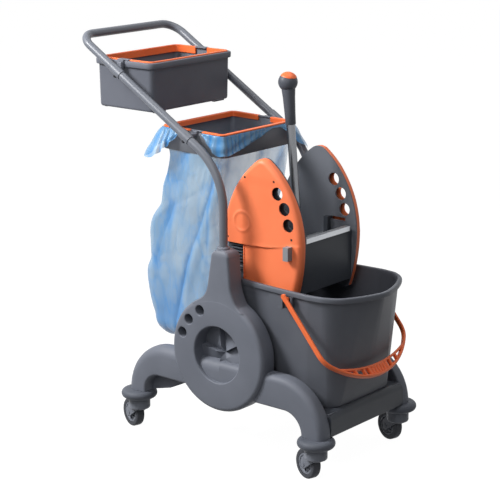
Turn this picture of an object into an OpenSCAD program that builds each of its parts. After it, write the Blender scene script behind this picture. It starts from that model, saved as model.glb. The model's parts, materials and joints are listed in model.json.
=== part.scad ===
// Janitor cart: a wheeled frame with a push handle that carries a tray, a waste bag
// and a lift-out bucket with a lever press wringer.
// Millimetres. +X is the bucket end, +Y the left side, +Z up. The floor is z = 0.

/* [Overall] */
// Length from the back of the push handle to the tip of the bucket's spout
cart_len = 840; // [820:1:870]
// Height of the push handle's centre line above the floor
handle_h = 1000; // [970:1:1040]
// Width over the outer faces of the two side frames
frame_w = 394; // [388:1:404]

/* [Casters] */
// Wheel diameter
wheel_d = 75; // [70:0.5:78]
// Wheel width
wheel_w = 23; // [16:0.5:24]
// Distance between the front and rear swivel axes
wheelbase = 569; // [560:1:580]
// Distance between the right and left swivel axes
track = 340; // [334:1:346]
// Place of the front swivel axes ahead of the origin
front_caster_x = 341; // [336:1:346]
// Horizontal distance from a swivel axis to its axle
caster_trail = 30; // [26:0.5:32]
// How far each caster is turned about its swivel axis as the cart stands
caster_yaw = -16; // [-40:1:40]
// Wheel core diameter, under the tyre
core_d = 50; // [44:1:56]
// Axle diameter
axle_d = 8; // [6:0.5:10]
// Swivel stem diameter
stem_d = 11; // [9:0.5:13]
// Diameter of the fork's round neck
neck_d = 55; // [50:1:60]
// Height of the fork's head above the wheel
fork_rise = 11.7; // [10:0.1:16]
// Thickness of a fork arm
arm_thick = 4; // [3:0.5:5]
// Outer diameter of a bumper ring
bumper_d = 92; // [86:1:98]
// Thickness of a bumper ring
bumper_thick = 22; // [18:0.5:26]

/* [Side frames] */
// Thickness of a side frame
frame_thick = 48; // [44:0.5:50]
// How far the legs are set back from the round panel's face
leg_set = 10; // [6:0.5:12]
// Centre of the round side panel ahead of the origin
disc_x = 55; // [45:1:65]
// Height of the round side panel's centre
disc_z = 262; // [255:1:270]
// Diameter of the round side panel
disc_d = 288; // [276:1:300]
// Diameter of the recess in the round side panel
recess_d = 142; // [130:1:150]
// Depth of that recess
recess_depth = 38; // [30:0.5:40]
// Hub diameter in the recess
hub_d = 44; // [36:1:50]
// Diameter of the three small round holes
port_d = 26; // [22:0.5:28]
// Distance of the small holes from the panel's centre
port_ring_r = 116; // [112:0.5:120]
// Height of the two towers' tops
tower_top = 525; // [515:1:540]
// Height of a leg's top edge
leg_top = 242; // [236:1:248]
// Height of the arch under a leg
arch_top = 162; // [158:1:165]

/* [Base] */
// Thickness of the platform under the bucket
platform_thick = 8; // [6:0.5:10]
// Height of the platform's upper face
platform_top = 166; // [163:0.5:172]
// Wall of the front and rear cross beams
beam_wall = 8; // [5:0.5:10]
// Height of the front beam's lower edge
beam_low = 110; // [100:1:120]

/* [Handle] */
// Diameter of the handle's steel tube
tube_d = 21; // [20:0.5:25]
// Wall of the handle's tube
tube_wall = 1.5; // [1:0.1:2.5]
// Place of the handle's upright legs ahead of the origin
post_x = 59; // [54:0.5:64]
// Height where the upright legs begin to bend back
bend_z = 620; // [600:1:640]
// Radius of that bend, to the tube's centre line
bend_r = 166; // [150:1:180]
// Radius of the two upper corners, to the tube's centre line
corner_r = 45; // [35:1:60]
// Depth of the handle's sockets in the towers
socket_depth = 95; // [70:1:110]

/* [Tray and bag holder] */
// Height of the tray's rim
tray_rim_z = 946; // [935:1:955]
// Depth of the tray
tray_depth = 126; // [110:1:130]
// Length of the tray
tray_len = 193; // [183:1:203]
// Width of the tray at its rim
tray_w = 299; // [284:1:302]
// Wall of the tray
tray_wall = 3; // [2:0.25:4]
// Height of the bag holder's rim
bag_rim_z = 794; // [780:1:800]
// Height of the bag holder's collar
collar_h = 54; // [45:1:60]
// Length of the bag holder
bag_len = 201; // [190:1:205]
// Width of the bag holder
bag_w = 276; // [260:1:284]
// Wall of the bag holder's collar
collar_wall = 4; // [3:0.25:5]
// Height of the two orange clamping rings above their rim
ring_h = 3; // [2.5:0.5:5]
// Depth of the rings' skirt inside the rim
ring_skirt = 16; // [10:1:20]
// Wall of that skirt
ring_t = 3; // [2:0.5:4]
// Width of the two orange clamping rings
ring_w = 12; // [11:0.5:16]
// Outer diameter of the clamps on the handle's tube
clamp_d = 29; // [27:0.5:34]
// Length of those clamps along the tube
clamp_len = 50; // [36:1:56]
// Thickness of the bag's film as a solid
film = 1; // [0.8:0.1:1.5]
// Height of the bag's lowest point
bag_low = 226; // [220:1:240]

/* [Bucket] */
// Height of the bucket's rim
rim_z = 448; // [443:1:460]
// Width of the bucket over its rim
bucket_w = 323; // [316:1:330]
// Back end of the bucket's rim ahead of the origin
bucket_back = 35; // [30:0.5:38]
// Wall of the bucket
bucket_wall = 3.5; // [2.5:0.25:4]
// How far the rim stands out from the wall
rim_lip = 6; // [4:0.5:8]
// Height of the rim's lip
rim_h = 12; // [9:0.5:15]
// Place of the bail's pivots ahead of the origin
bail_x = 243; // [238:1:246]
// Distance of the bail's pivots below the rim
bail_drop = 18; // [17:0.5:24]
// Length of the bail from its pivots to its grip
bail_len = 250; // [242:1:252]
// Angle of the bail below level as it hangs
bail_hang = 49.6; // [44:0.2:51]
// Width of the bail's bar
bail_bar_w = 13; // [10:0.5:16]
// Thickness of the bail's bar
bail_bar_t = 7; // [6:0.5:9]
// Diameter of the bail's pivot pegs
peg_d = 10; // [8:0.5:12]

/* [Wringer] */
// Lower edge of the wringer inside the bucket
wringer_low = 405; // [400:1:410]
// Middle of the wringer's side plates ahead of the origin
leaf_x = 135; // [132:0.5:138]
// Height of the widest place of the side plates
leaf_z = 541; // [537:0.5:545]
// Radius of the side plates' two arcs above their widest place
leaf_r = 245; // [238:1:250]
// Radius of those arcs below it
leaf_low_r = 410; // [380:5:450]
// Width of the side plates
leaf_w = 238; // [228:1:242]
// Radius of the rounded apex of the side plates
apex_r = 30; // [24:1:36]
// Clear width between the side plates
press_w = 200; // [192:1:204]
// Thickness of a side plate
plate_t = 4; // [3:0.25:4.5]
// Depth of a cover over its side plate
cover_depth = 21; // [20:0.5:24]
// Wall of a cover
cover_wall = 3; // [2:0.25:3.5]
// How far the lower part of a cover is set back
cover_step = 6; // [3:0.5:6]
// Diameter of the three round holes through each side
eye_d = 32; // [26:0.5:34]
// Lever shaft ahead of the origin
shaft_x = 153; // [150:0.5:155]
// Height of the lever shaft
shaft_z = 522; // [518:0.5:525]
// Diameter of the lever shaft
shaft_d = 20; // [16:0.5:22]
// Module of the pinions and racks
gear_m = 4; // [3.5:0.1:4]
// Teeth of a pinion
gear_teeth = 20; // [18:1:20]
// Play between a pinion and its rack
backlash = 0.5; // [0.3:0.05:0.8]
// Full turn of the lever in degrees
lever_turn = 60; // [40:1:60]
// Backward lean of the lever as it stands
lever_lean = 5.2; // [3:0.1:8]
// Diameter of the lever's tube
lever_d = 21; // [18:0.5:22]
// Wall of the lever's tube
lever_wall = 2; // [1.5:0.1:3]
// Length of the lever from its shaft to the grip's top
lever_len = 417; // [400:1:430]
// Length of the grip under its ball
grip_len = 103; // [90:1:115]
// Diameter of the ball on top of the grip
ball_d = 48; // [42:1:52]

/* [Fits] */
// Radial clearance of a running fit
run_fit = 0.05; // [0.02:0.01:0.1]
// Radial clearance of a fixed fit
fix_fit = 0.05; // [0:0.01:0.1]
// Gap between faces that turn or slide past each other
slip = 0.3; // [0.2:0.05:0.8]

/* [Hidden] */
$fn = 64;
GREY = "#555a63";
DARK = "#3c4048";
ORANGE = "#f47a45";
STEEL = "#c3c6ca";
RUBBER = "#2c2e33";
FILM = "#a9cbe6";

// Half widths and heights that several pieces share
frame_out = frame_w / 2;
frame_in = frame_out - frame_thick;
leg_y = frame_out - frame_thick / 2;
rear_caster_x = front_caster_x - wheelbase;
axle_z = wheel_d / 2;
fork_top = wheel_d + fork_rise;
bumper_low = fork_top + slip;
foot_z = bumper_low + bumper_thick;
stem_low = fork_top - 20;
stem_top = foot_z + 42;
spout_x = cart_len / 2;
tube_r = tube_d / 2;

// Names of the four corners, as [end, side]
RIGHT = -1;
LEFT = 1;
function caster_at(end, side) = [end == "front" ? front_caster_x : rear_caster_x, side * track / 2];

// Feet of the legs: reach towards the cart's ends and towards its middle
foot_end = 28;
foot_mid = 34;
front_face = front_caster_x + foot_end;
rear_face = rear_caster_x - foot_end;
leg_bow = leg_top - foot_z;
front_arch_r = arch_top - foot_z;
rear_arch_r = 46;
rear_web = 6;

// Points on a circle's arc in the X-Z plane
function arc(c, r, a0, a1, n = 16) =
    [for (i = [0:n]) let (a = a0 + (a1 - a0) * i / n) [c[0] + r * cos(a), c[1] + r * sin(a)]];

front_leg_pts = concat(
    [[disc_x, leg_top]],
    arc([front_face - leg_bow, foot_z], leg_bow, 90, 0),
    arc([front_caster_x - foot_mid - front_arch_r, foot_z], front_arch_r, 0, 90),
    [[disc_x, arch_top]]);
rear_leg_pts = concat(
    [[disc_x, leg_top]],
    arc([rear_face + leg_bow, foot_z], leg_bow, 90, 180),
    [[rear_caster_x + foot_mid, foot_z]],
    arc([rear_caster_x + foot_mid + rear_arch_r, arch_top - rear_arch_r], rear_arch_r, 180, 90),
    [[disc_x, arch_top]]);
// Inner web that braces the rear leg below its arch
rear_web_pts = [
    [rear_caster_x + foot_mid - 1, foot_z], [rear_caster_x + foot_mid + 60, foot_z + 17],
    [rear_caster_x + foot_mid + 94, foot_z + 32], [rear_caster_x + foot_mid + 134, arch_top + 1],
    [rear_caster_x + foot_mid - 1, arch_top + 1]];

// Tower: tapers upwards and flares into the round side panel
tower_half_top = 25;
tower_half_low = 37;
tower_x = post_x + 6;
tower_round = 15;
disc_r = disc_d / 2;
flare_a = 26;
function on_disc(a) = [disc_x + disc_r * cos(a), disc_z + disc_r * sin(a)];
tower_pts = concat(
    [on_disc(90 + flare_a), [tower_x - tower_half_low - 12, on_disc(90 + flare_a)[1] + 17],
     [tower_x - tower_half_low - 3, on_disc(90 + flare_a)[1] + 42]],
    arc([tower_x - tower_half_top + tower_round, tower_top - tower_round], tower_round, 170, 90, 6),
    arc([tower_x + tower_half_top - tower_round, tower_top - tower_round], tower_round, 90, 10, 6),
    [[tower_x + tower_half_low - 4, on_disc(90 - flare_a)[1] + 42],
     [tower_x + tower_half_low + 6, on_disc(90 - flare_a)[1] + 17], on_disc(90 - flare_a)]);
disc_round = 13;
port_angles = [117, 140, 161];
port_depth = 34;
hub_rise = 26;
rib_angles = [90, 162, 234, 306, 18];
rib_t = 8;

// Base
beam_top = platform_top - platform_thick;
platform_back = -60;
lip_h = 26;
lip_t = 4;
bolt_d = 8;
bolt_head_h = 5;
bolt_head_d = 15;
bolt_z = platform_top + lip_h / 2;
bolt_xs = [0, 110, 240];
bolt_grip = 20;
rear_beam_x = rear_caster_x + 88;
rear_beam_w = 36;

// Handle: the straight slope is the tangent from the bend to the crossbar
bend_c = [post_x - bend_r, bend_z];
bar_at = [-cart_len / 2 + tube_r, handle_h];
bar_dist = norm(bar_at - bend_c);
bend_a = atan2(bar_at[1] - bend_c[1], bar_at[0] - bend_c[0]) - acos(bend_r / bar_dist);
slope_at = bend_c + bend_r * [cos(bend_a), sin(bend_a)];
slope_len = norm(bar_at - slope_at) - corner_r;
socket_low = tower_top - socket_depth;
// The tube draws in a little where it bends, and the straight lengths reach into the bends
bend_thin = 0.05;
weld = 0.5;
function slope_s(z) = (z - slope_at[1]) / cos(bend_a);
function slope_x(z) = slope_at[0] - slope_s(z) * sin(bend_a);

// Tray and bag holder hang on the slope where it passes their rims
tray_x0 = slope_x(tray_rim_z) - 59;
bag_x0 = slope_x(bag_rim_z) - 98;
holder_taper = 3;
tray_round = 14;
bag_round = 16;
arm_w = 30;
arm_h = 18;
foot_pad_d = 16;
foot_pad_h = 4;
ring_gap = 40;
// The clamps sit ahead of the place where the tube passes a holder's rim, and a little lower
tray_clamp_ahead = 40;
bag_clamp_ahead = 15;
function slope_z(rim, ahead) = rim - ahead / tan(bend_a);
skirt_round = 16;
tray_flange = 5;
tray_flange_h = 10;
collar_taper = 3;
screw_d = 5;
screw_head_d = 9;
screw_head_h = 3;

// The bag's levels as [z, back x, front x, half width], from its mouth down
bag_front = bag_x0 + bag_len - collar_wall - slip;
bag_back = bag_x0 + collar_wall + slip;
bag_half = bag_w / 2 - collar_wall - collar_taper - slip;
bag_levels = [
    [bag_rim_z, bag_back, bag_front, bag_half],
    [bag_rim_z - collar_h - 1, bag_back, bag_front, bag_half],
    [700, bag_back, bag_front - 4.1, bag_half], [650, bag_back - 8, bag_front - 9.4, bag_half - 1],
    [600, bag_back - 22, bag_front - 14.7, bag_half - 3], [530, bag_back - 72, bag_front - 22, bag_half - 4],
    [400, bag_back - 92, bag_front - 36, bag_half - 8], [300, bag_back - 80, bag_front - 52, bag_half - 14],
    [bag_low, bag_back - 22, bag_front - 94, bag_half - 40]];
bag_turn = 20;
flap_gap = 1;
flap_out = 13;
flap_low = bag_rim_z - collar_h + 6;

// Bucket: circles whose hull is the plan at the rim and at the floor, as [x, y, r]
bucket_floor = platform_top;
wall_half = bucket_w / 2 - rim_lip;
back_half = frame_in - rim_lip - 8;
rim_plan = [
    [bucket_back + rim_lip + 50, back_half - 50, 50], [bail_x - 2, wall_half - 60, 60],
    [308, wall_half - 85, 82], [spout_x - rim_lip - 134, 0, 134]];
floor_front = front_face - beam_wall - 3;
floor_plan = [
    [bucket_back + 60, 80, 35], [bail_x - 2, 92, 45], [floor_front - 40, 88, 40], [floor_front - 30, 0, 30]];
ear_d = 30;
ear_out = bucket_w / 2 + 0.5;
ear_in = wall_half - 7;
ear_bore = 9;
ledge_x = [95, 215];
ledge_t = 8;
bail_z = rim_z - bail_drop;
bail_y = ear_out + slip + bail_bar_t / 2;
bail_corner = 50;
bail_bow = 220;
bail_hub_d = 18;
// The bail's front is a ladder: a bowed outer rail, a flatter inner rail, struts and a grip between them
ladder_w = 24;
ladder_half = 130;
ladder_sag = 20;
ladder_strut = 6;
strut_ys = [52, 82];
bail_grip_len = 76;
bow_c = bail_len - bail_bow;
corner_y = bail_y - bail_corner;
corner_x = bow_c + sqrt(pow(bail_bow - bail_corner, 2) - pow(corner_y, 2));
bow_a = atan2(corner_y, corner_x - bow_c);
rail_r = (pow(ladder_half, 2) + pow(ladder_sag, 2)) / (2 * ladder_sag);
rail_c = bail_len - ladder_w - rail_r;
rail_a = asin(ladder_half / rail_r);

// Edges of the bail's bar and of its inner rail, set out from their middle lines
function bail_edge(out) = concat(
    [[0, -bail_y - out]],
    arc([corner_x, -corner_y], bail_corner + out, -90, -bow_a, 10),
    arc([bow_c, 0], bail_bow + out, -bow_a + 2, bow_a - 2, 30),
    arc([corner_x, corner_y], bail_corner + out, bow_a, 90, 10),
    [[0, bail_y + out]]);
function rail_edge(out) = arc([rail_c, 0], rail_r + out, -rail_a, rail_a, 20);
function reversed(list) = [for (i = [len(list) - 1:-1:0]) list[i]];

// Wringer
plate_in = press_w / 2;
plate_out = plate_in + plate_t;
cover_out = plate_out + cover_depth;
leaf_c = leaf_r - leaf_w / 2;
leaf_front = leaf_x + leaf_w / 2;
leaf_back = leaf_x - leaf_w / 2;
step_z = 530;
step_x = leaf_back + 59;
plate_back = bucket_back + rim_lip + bucket_wall + 12;
plate_step_z = rim_z + 7;
// A point at a height above the widest place, set in from the front or the back edge
function from_front(in, up) = [leaf_x - leaf_c + sqrt(pow(leaf_r, 2) - up * up) - in, leaf_z + up];
function from_back(in, up) = [leaf_x + leaf_c - sqrt(pow(leaf_r, 2) - up * up) + in, leaf_z + up];
eyes = [from_front(35.5, 127), from_front(31, 93), from_front(31, 55)];
cover_screws_at = [from_back(14, 155), from_front(25, 155), from_front(26.5, 22), from_back(17, 2)];
cover_screw_d = 5;
cover_boss_d = 10;
tab = [15, 17, 33];
tab_at = [leaf_front - 31, leaf_z - 10];
basket_t = 6;
basket_low = wringer_low + 21;
panel_x = leaf_front - 20;
panel_top = 549;
back_x = leaf_back + 66;
back_h = 84;
bar_size = [14, 174, 12];
drain_d = 9;
plate_bolt_at = [leaf_back + 48, leaf_z - 71];
plate_bolt_d = 14;
plate_bolt_h = 8;

// Rack and pinion: the racks lie above the pinions, inside the covers
pitch_r = gear_m * gear_teeth / 2;
pinion_t = 8;
pinion_in = plate_out + 2;
pitch_z = shaft_z + pitch_r;
press_travel = pitch_r * lever_turn * PI / 180;
rack_h = 8;
rack_reach = 19;
rack_top = pitch_z + 1.25 * gear_m + rack_h;
press_x = shaft_x + shaft_d / 2 + 2;
press_t = 12;
press_top = 500;
press_gap = 3;
press_arm = 12;
lug_h = 8;
lever_hub_d = 34;
lever_hub_w = 40;
ball_z = lever_len - ball_d / 2;
grip_z = ball_z - grip_len;
cap_h = 10;

// Outline of a side plate: an upper and a lower arc on each side, a rounded apex, cut level at the bottom
function leaf_pts(inset) = let (
        r = leaf_r - inset, low_r = leaf_low_r - inset, low_c = leaf_low_r - leaf_w / 2,
        top = sqrt(pow(r - apex_r, 2) - pow(leaf_c, 2)), phi = atan2(top, leaf_c),
        low = asin((leaf_z - wringer_low) / low_r))
    concat(
        arc([leaf_x - low_c, leaf_z], low_r, -low, -low / 8, 7),
        arc([leaf_x - leaf_c, leaf_z], r, 0, phi, 24),
        arc([leaf_x, leaf_z + top], apex_r, phi, 180 - phi, 8),
        arc([leaf_x + leaf_c, leaf_z], r, 180 - phi, 180, 24),
        arc([leaf_x + low_c, leaf_z], low_r, 180 + low / 8, 180 + low, 7));

// Involute flank: turn of a point at radius r from the flank's start, in degrees
function inv_turn(rb, r) = let (t = sqrt(max(pow(r / rb, 2) - 1, 0))) t * 180 / PI - atan(t);
function pinion_pts() = let (
        rb = pitch_r * cos(20), rf = pitch_r - 1.25 * gear_m, ra = pitch_r + gear_m,
        half = 90 / gear_teeth - backlash / 4 / pitch_r * 180 / PI,
        radii = [for (i = [0:5]) max(rb, rf) + (ra - max(rb, rf)) * i / 5])
    [for (k = [0:gear_teeth - 1]) let (mid = 90 + 360 * k / gear_teeth)
        each concat(
            [let (a = mid - half - inv_turn(rb, pitch_r)) rf * [cos(a), sin(a)]],
            [for (r = radii) let (
                a = mid - half - inv_turn(rb, pitch_r) + inv_turn(rb, r)) r * [cos(a), sin(a)]],
            [for (i = [5:-1:0]) let (
                r = radii[i], a = mid + half + inv_turn(rb, pitch_r) - inv_turn(rb, r)) r * [cos(a), sin(a)]],
            [let (a = mid + half + inv_turn(rb, pitch_r)) rf * [cos(a), sin(a)]])];

// A convex plan's outline as points: for each direction, the point of its circles that lies furthest out.
// Circles are [x, y, r] and stand on both sides of the mid-plane.
plan_n = 64;
function plan_ring(circles, grow, z) = [for (i = [0:plan_n - 1]) let (
        n = [cos(360 * i / plan_n), sin(360 * i / plan_n)],
        reach = [for (c = circles) c[0] * n[0] + c[1] * abs(n[1]) + c[2]],
        c = circles[search(max(reach), reach)[0]],
        side = n[1] > 1e-6 ? 1 : n[1] < -1e-6 ? -1 : 0)
    [c[0] + (c[2] + grow) * n[0], side * c[1] + (c[2] + grow) * n[1], z]];

// A rounded rectangle as a ring of points, drawn in by inset
function box_ring(z, x0, x1, half, turn, inset) =
    plan_ring([[x0 + turn, half - turn, turn], [x1 - turn, half - turn, turn]], -inset, z);
function bag_ring_at(i, inset, up) = let (lv = bag_levels[i])
    box_ring(lv[0] + up, lv[1], lv[2], lv[3], bag_turn, inset);
function flap_ring(z, out, inset) =
    box_ring(z, bag_x0 - out, bag_x0 + bag_len + out, bag_w / 2 + out, bag_round + out, inset);

// A closed solid through rings of points, with a flat face on the first ring and on the last
module ring_solid(rings) {
    n = len(rings[0]);
    last = (len(rings) - 1) * n;
    polyhedron(
        points = [for (r = rings) each r],
        faces = concat(
            [[for (i = [0:n - 1]) i]],
            [for (k = [0:len(rings) - 2], i = [0:n - 1]) let (a = k * n + i, b = k * n + (i + 1) % n)
                each [[a, a + n, b], [b, a + n, b + n]]],
            [[for (i = [n - 1:-1:0]) last + i]]));
}

// A shape drawn in the X-Z plane, from y0 to y1 out from the mid-plane on one side
module slab(side, y0, y1) {
    translate([0, side > 0 ? y1 : -y0, 0]) rotate([90, 0, 0]) linear_extrude(y1 - y0) children();
}

// A shape drawn in the X-Z plane across the mid-plane
module across(half) {
    translate([0, half, 0]) rotate([90, 0, 0]) linear_extrude(2 * half) children();
}

// The straight slope of the handle: z runs up along the tube
module on_slope() {
    translate([slope_at[0], 0, slope_at[1]]) rotate([0, -bend_a, 0]) children();
}

module at_caster(end, side) {
    p = caster_at(end, side);
    translate([p[0], p[1], 0]) rotate([0, 0, caster_yaw]) children();
}

module side_frame(side) {
    color(GREY) {
        difference() {
            union() {
                slab(side, frame_in, frame_out - leg_set) {
                    polygon(front_leg_pts);
                    polygon(rear_leg_pts);
                }
                slab(side, frame_in, frame_out) polygon(tower_pts);
                slab(side, frame_in, frame_in + rear_web) polygon(rear_web_pts);
                translate([disc_x, side * frame_in, disc_z]) rotate([-90 * side, 0, 0]) disc_body();
            }
            slab(side, frame_out - recess_depth, frame_out + 1)
                translate([disc_x, disc_z]) circle(d = recess_d);
            slab(side, frame_out - port_depth, frame_out + 1)
                for (a = port_angles)
                    translate([disc_x + port_ring_r * cos(a), disc_z + port_ring_r * sin(a)])
                        circle(d = port_d);
            translate([post_x, side * leg_y, socket_low]) cylinder(r = tube_r + fix_fit, h = socket_depth + 1);
            for (end = ["front", "rear"]) {
                p = caster_at(end, side);
                translate([p[0], p[1], foot_z - 1])
                    cylinder(d = stem_d + 2 * fix_fit, h = stem_top - foot_z + 1);
            }
            slab(side, frame_in - 1, frame_in + bolt_grip)
                for (x = bolt_xs) translate([x, bolt_z]) circle(d = bolt_d + 2 * fix_fit);
        }
        slab(side, frame_out - recess_depth - 1, frame_out - recess_depth + hub_rise)
            translate([disc_x, disc_z]) circle(d = hub_d);
        slab(side, frame_out - recess_depth - 1, frame_out - recess_depth + hub_rise - 4)
            translate([disc_x, disc_z])
                for (a = rib_angles)
                    rotate(a) translate([hub_d / 2 - 4, -rib_t / 2])
                        square([recess_d / 2 - hub_d / 2 + 6, rib_t]);
    }
}

// The round side panel with its softened outer edge
module disc_body() {
    rotate_extrude($fn = 128) {
        square([disc_r, frame_thick - disc_round]);
        square([disc_r - disc_round, frame_thick]);
        translate([disc_r - disc_round, frame_thick - disc_round]) circle(disc_round);
    }
}

module base_platform() {
    color(DARK) difference() {
        union() {
            translate([platform_back, -frame_in, beam_top])
                cube([front_face - beam_wall - platform_back, 2 * frame_in, platform_thick]);
            for (side = [RIGHT, LEFT])
                slab(side, frame_in - lip_t, frame_in)
                    translate([bolt_xs[0] - 20, platform_top - 1])
                        square([bolt_xs[2] - bolt_xs[0] + 40, lip_h + 1]);
        }
        for (side = [RIGHT, LEFT])
            slab(side, frame_in - lip_t - 1, frame_in + 1)
                for (x = bolt_xs) translate([x, bolt_z]) circle(d = bolt_d + 2 * fix_fit);
    }
}

module front_beam() {
    color(GREY) across(frame_in) {
        translate([front_face - beam_wall, beam_low]) square([beam_wall, platform_top - beam_low]);
        translate([front_face - 44, beam_top - beam_wall]) square([44, beam_wall]);
    }
}

module rear_beam() {
    color(DARK) across(frame_in) translate([rear_beam_x, arch_top + 4]) difference() {
        square([rear_beam_w, rear_beam_w]);
        translate([beam_wall / 2, beam_wall / 2]) square(rear_beam_w - beam_wall);
    }
}

module frame_bolts() {
    color(STEEL) for (side = [RIGHT, LEFT], x = bolt_xs) {
        slab(side, frame_in - lip_t, frame_in + bolt_grip - 1) translate([x, bolt_z]) circle(d = bolt_d);
        slab(side, frame_in - lip_t - bolt_head_h, frame_in - lip_t)
            translate([x, bolt_z]) circle(d = bolt_head_d, $fn = 6);
    }
}

module bumper_ring(end, side) {
    edge = bumper_thick / 2;
    p = caster_at(end, side);
    color(DARK) translate([p[0], p[1], bumper_low]) difference() {
        rotate_extrude() {
            square([bumper_d / 2 - edge, bumper_thick]);
            translate([bumper_d / 2 - edge, edge]) intersection() {
                circle(edge);
                translate([-1, -edge]) square([edge + 1, 2 * edge]);
            }
        }
        translate([0, 0, -1]) cylinder(d = stem_d + 2 * fix_fit, h = bumper_thick + 2);
    }
}

module caster_stems() {
    color(STEEL) for (end = ["front", "rear"], side = [RIGHT, LEFT]) {
        p = caster_at(end, side);
        translate([p[0], p[1], stem_low]) cylinder(d = stem_d, h = stem_top - stem_low - 0.5);
    }
}

module fork(end, side) {
    arm_in = wheel_w / 2 + 1;
    arm_pts = [
        [-neck_d / 2 + 1, fork_top - 16], [neck_d / 2 - 8, fork_top - 22], [-caster_trail + 7, axle_z - 8],
        [-caster_trail - 7, axle_z - 8], [-caster_trail - 10, axle_z + 2]];
    color(GREY) at_caster(end, side) difference() {
        union() {
            translate([0, 0, fork_top - 34]) cylinder(d1 = neck_d - 10, d2 = neck_d, h = 12);
            translate([0, 0, fork_top - 22]) cylinder(d = neck_d, h = 22);
            for (s = [RIGHT, LEFT]) slab(s, arm_in, arm_in + arm_thick) {
                polygon(arm_pts);
                translate([-caster_trail, axle_z]) circle(d = axle_d + 12);
            }
        }
        across(arm_in) translate([-caster_trail, axle_z]) circle(r = wheel_d / 2 + 1.5);
        across(neck_d) translate([-caster_trail, axle_z]) circle(d = axle_d + 2 * fix_fit);
        translate([0, 0, stem_low - slip]) cylinder(d = stem_d + 2 * run_fit, h = 40);
    }
}

module axle(end, side) {
    reach = wheel_w / 2 + 1 + arm_thick;
    color(STEEL) at_caster(end, side) {
        across(reach) translate([-caster_trail, axle_z]) circle(d = axle_d);
        for (s = [RIGHT, LEFT])
            slab(s, reach, reach + 2) translate([-caster_trail, axle_z]) circle(d = axle_d + 5);
    }
}

module wheel_core(end, side) {
    color(GREY) at_caster(end, side) difference() {
        union() {
            across(wheel_w / 2 - 2) translate([-caster_trail, axle_z]) circle(d = core_d);
            across(wheel_w / 2) translate([-caster_trail, axle_z]) circle(d = axle_d + 10);
        }
        across(wheel_w) translate([-caster_trail, axle_z]) circle(d = axle_d + 2 * run_fit);
    }
}

module tyre(end, side) {
    tread = 5;
    color(RUBBER) at_caster(end, side) translate([-caster_trail, 0, axle_z]) rotate([90, 0, 0])
        rotate_extrude() {
            translate([core_d / 2, -wheel_w / 2]) square([wheel_d / 2 - core_d / 2 - tread, wheel_w]);
            translate([core_d / 2, -wheel_w / 2 + tread])
                square([wheel_d / 2 - core_d / 2, wheel_w - 2 * tread]);
            for (y = [-1, 1]) translate([wheel_d / 2 - tread, y * (wheel_w / 2 - tread)]) circle(tread);
        }
}

module tube_section(thin = 0) {
    difference() {
        circle(tube_r - thin);
        circle(tube_r - tube_wall + thin);
    }
}

module handle_tube() {
    color(GREY) {
        for (side = [RIGHT, LEFT]) {
            translate([post_x, side * leg_y, socket_low])
                linear_extrude(bend_z - socket_low + weld) tube_section();
            translate([bend_c[0], side * leg_y, bend_c[1]]) rotate([90, 0, 0])
                rotate_extrude(angle = bend_a) translate([bend_r, 0]) tube_section(bend_thin);
            on_slope() {
                translate([0, side * leg_y, -weld]) linear_extrude(slope_len + weld) tube_section();
                mirror([0, side > 0 ? 0 : 1, 0])
                    translate([0, leg_y - corner_r, slope_len]) rotate([90, 0, 90])
                        rotate_extrude(angle = 90) translate([corner_r, 0]) tube_section();
            }
        }
        on_slope() translate([0, leg_y - corner_r, slope_len + corner_r]) rotate([90, 0, 0])
            linear_extrude(2 * (leg_y - corner_r)) tube_section();
    }
}

// A rectangle with round corners, from x0 forward and to both sides of the mid-plane
module round_rect(x0, len, half, round) {
    translate([x0 + round, -half]) square([len - 2 * round, 2 * half]);
    translate([x0, round - half]) square([len, 2 * (half - round)]);
    for (x = [x0 + round, x0 + len - round], y = [-1, 1]) translate([x, y * (half - round)]) circle(round);
}

// A rounded box between two heights, whose sides lean in downwards by taper
module hopper(x0, len, half, z0, z1, taper, round) {
    intersection() {
        translate([0, 0, z0]) linear_extrude(z1 - z0) round_rect(x0, len, half, round);
        translate([x0 - 1, 0, 0]) rotate([90, 0, 90]) linear_extrude(len + 2)
            polygon([[half, z1], [-half, z1], [taper - half, z0], [half - taper, z0]]);
    }
}

module tray_box() {
    low = tray_rim_z - tray_depth;
    in_half = tray_w / 2 - tray_wall;
    color(DARK) {
        difference() {
            union() {
                hopper(tray_x0, tray_len, tray_w / 2, low, tray_rim_z, holder_taper, tray_round);
                hopper(tray_x0 - tray_flange, tray_len + 2 * tray_flange, tray_w / 2 + tray_flange,
                       tray_rim_z - tray_flange_h, tray_rim_z, 0, tray_round + tray_flange);
            }
            hopper(tray_x0 + tray_wall, tray_len - 2 * tray_wall, in_half, low + tray_wall, tray_rim_z,
                   holder_taper, tray_round - tray_wall);
            hopper(tray_x0 + tray_wall, tray_len - 2 * tray_wall, in_half, tray_rim_z - 1, tray_rim_z + 1,
                   0, tray_round - tray_wall);
        }
        for (x = [tray_x0 + 26, tray_x0 + tray_len - 26], y = [-1, 1])
            translate([x, y * (tray_w / 2 - holder_taper - 26), low - foot_pad_h])
                cylinder(d = foot_pad_d, h = foot_pad_h + 1);
    }
}

// A ring with a flat lip on a holder's rim and a skirt inside it, parted where the clamps sit
module holder_ring(x0, len, half, z, round, clamp_x, inset) {
    inner = inset + ring_t;
    color(ORANGE) difference() {
        union() {
            hopper(x0, len, half, z, z + ring_h, 0, round);
            hopper(x0 + inset, len - 2 * inset, half - inset, z - ring_skirt, z + 1, 0, skirt_round);
        }
        hopper(x0 + inner, len - 2 * inner, half - inner, z - ring_skirt - 1, z + ring_h + 1, 0,
               skirt_round - ring_t);
        for (side = [-1, 1])
            translate([clamp_x - ring_gap / 2, side > 0 ? half - ring_w - 1 : -half - 1, z - ring_skirt - 1])
                cube([ring_gap, ring_w + 2, ring_skirt + ring_h + 2]);
    }
}

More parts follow.
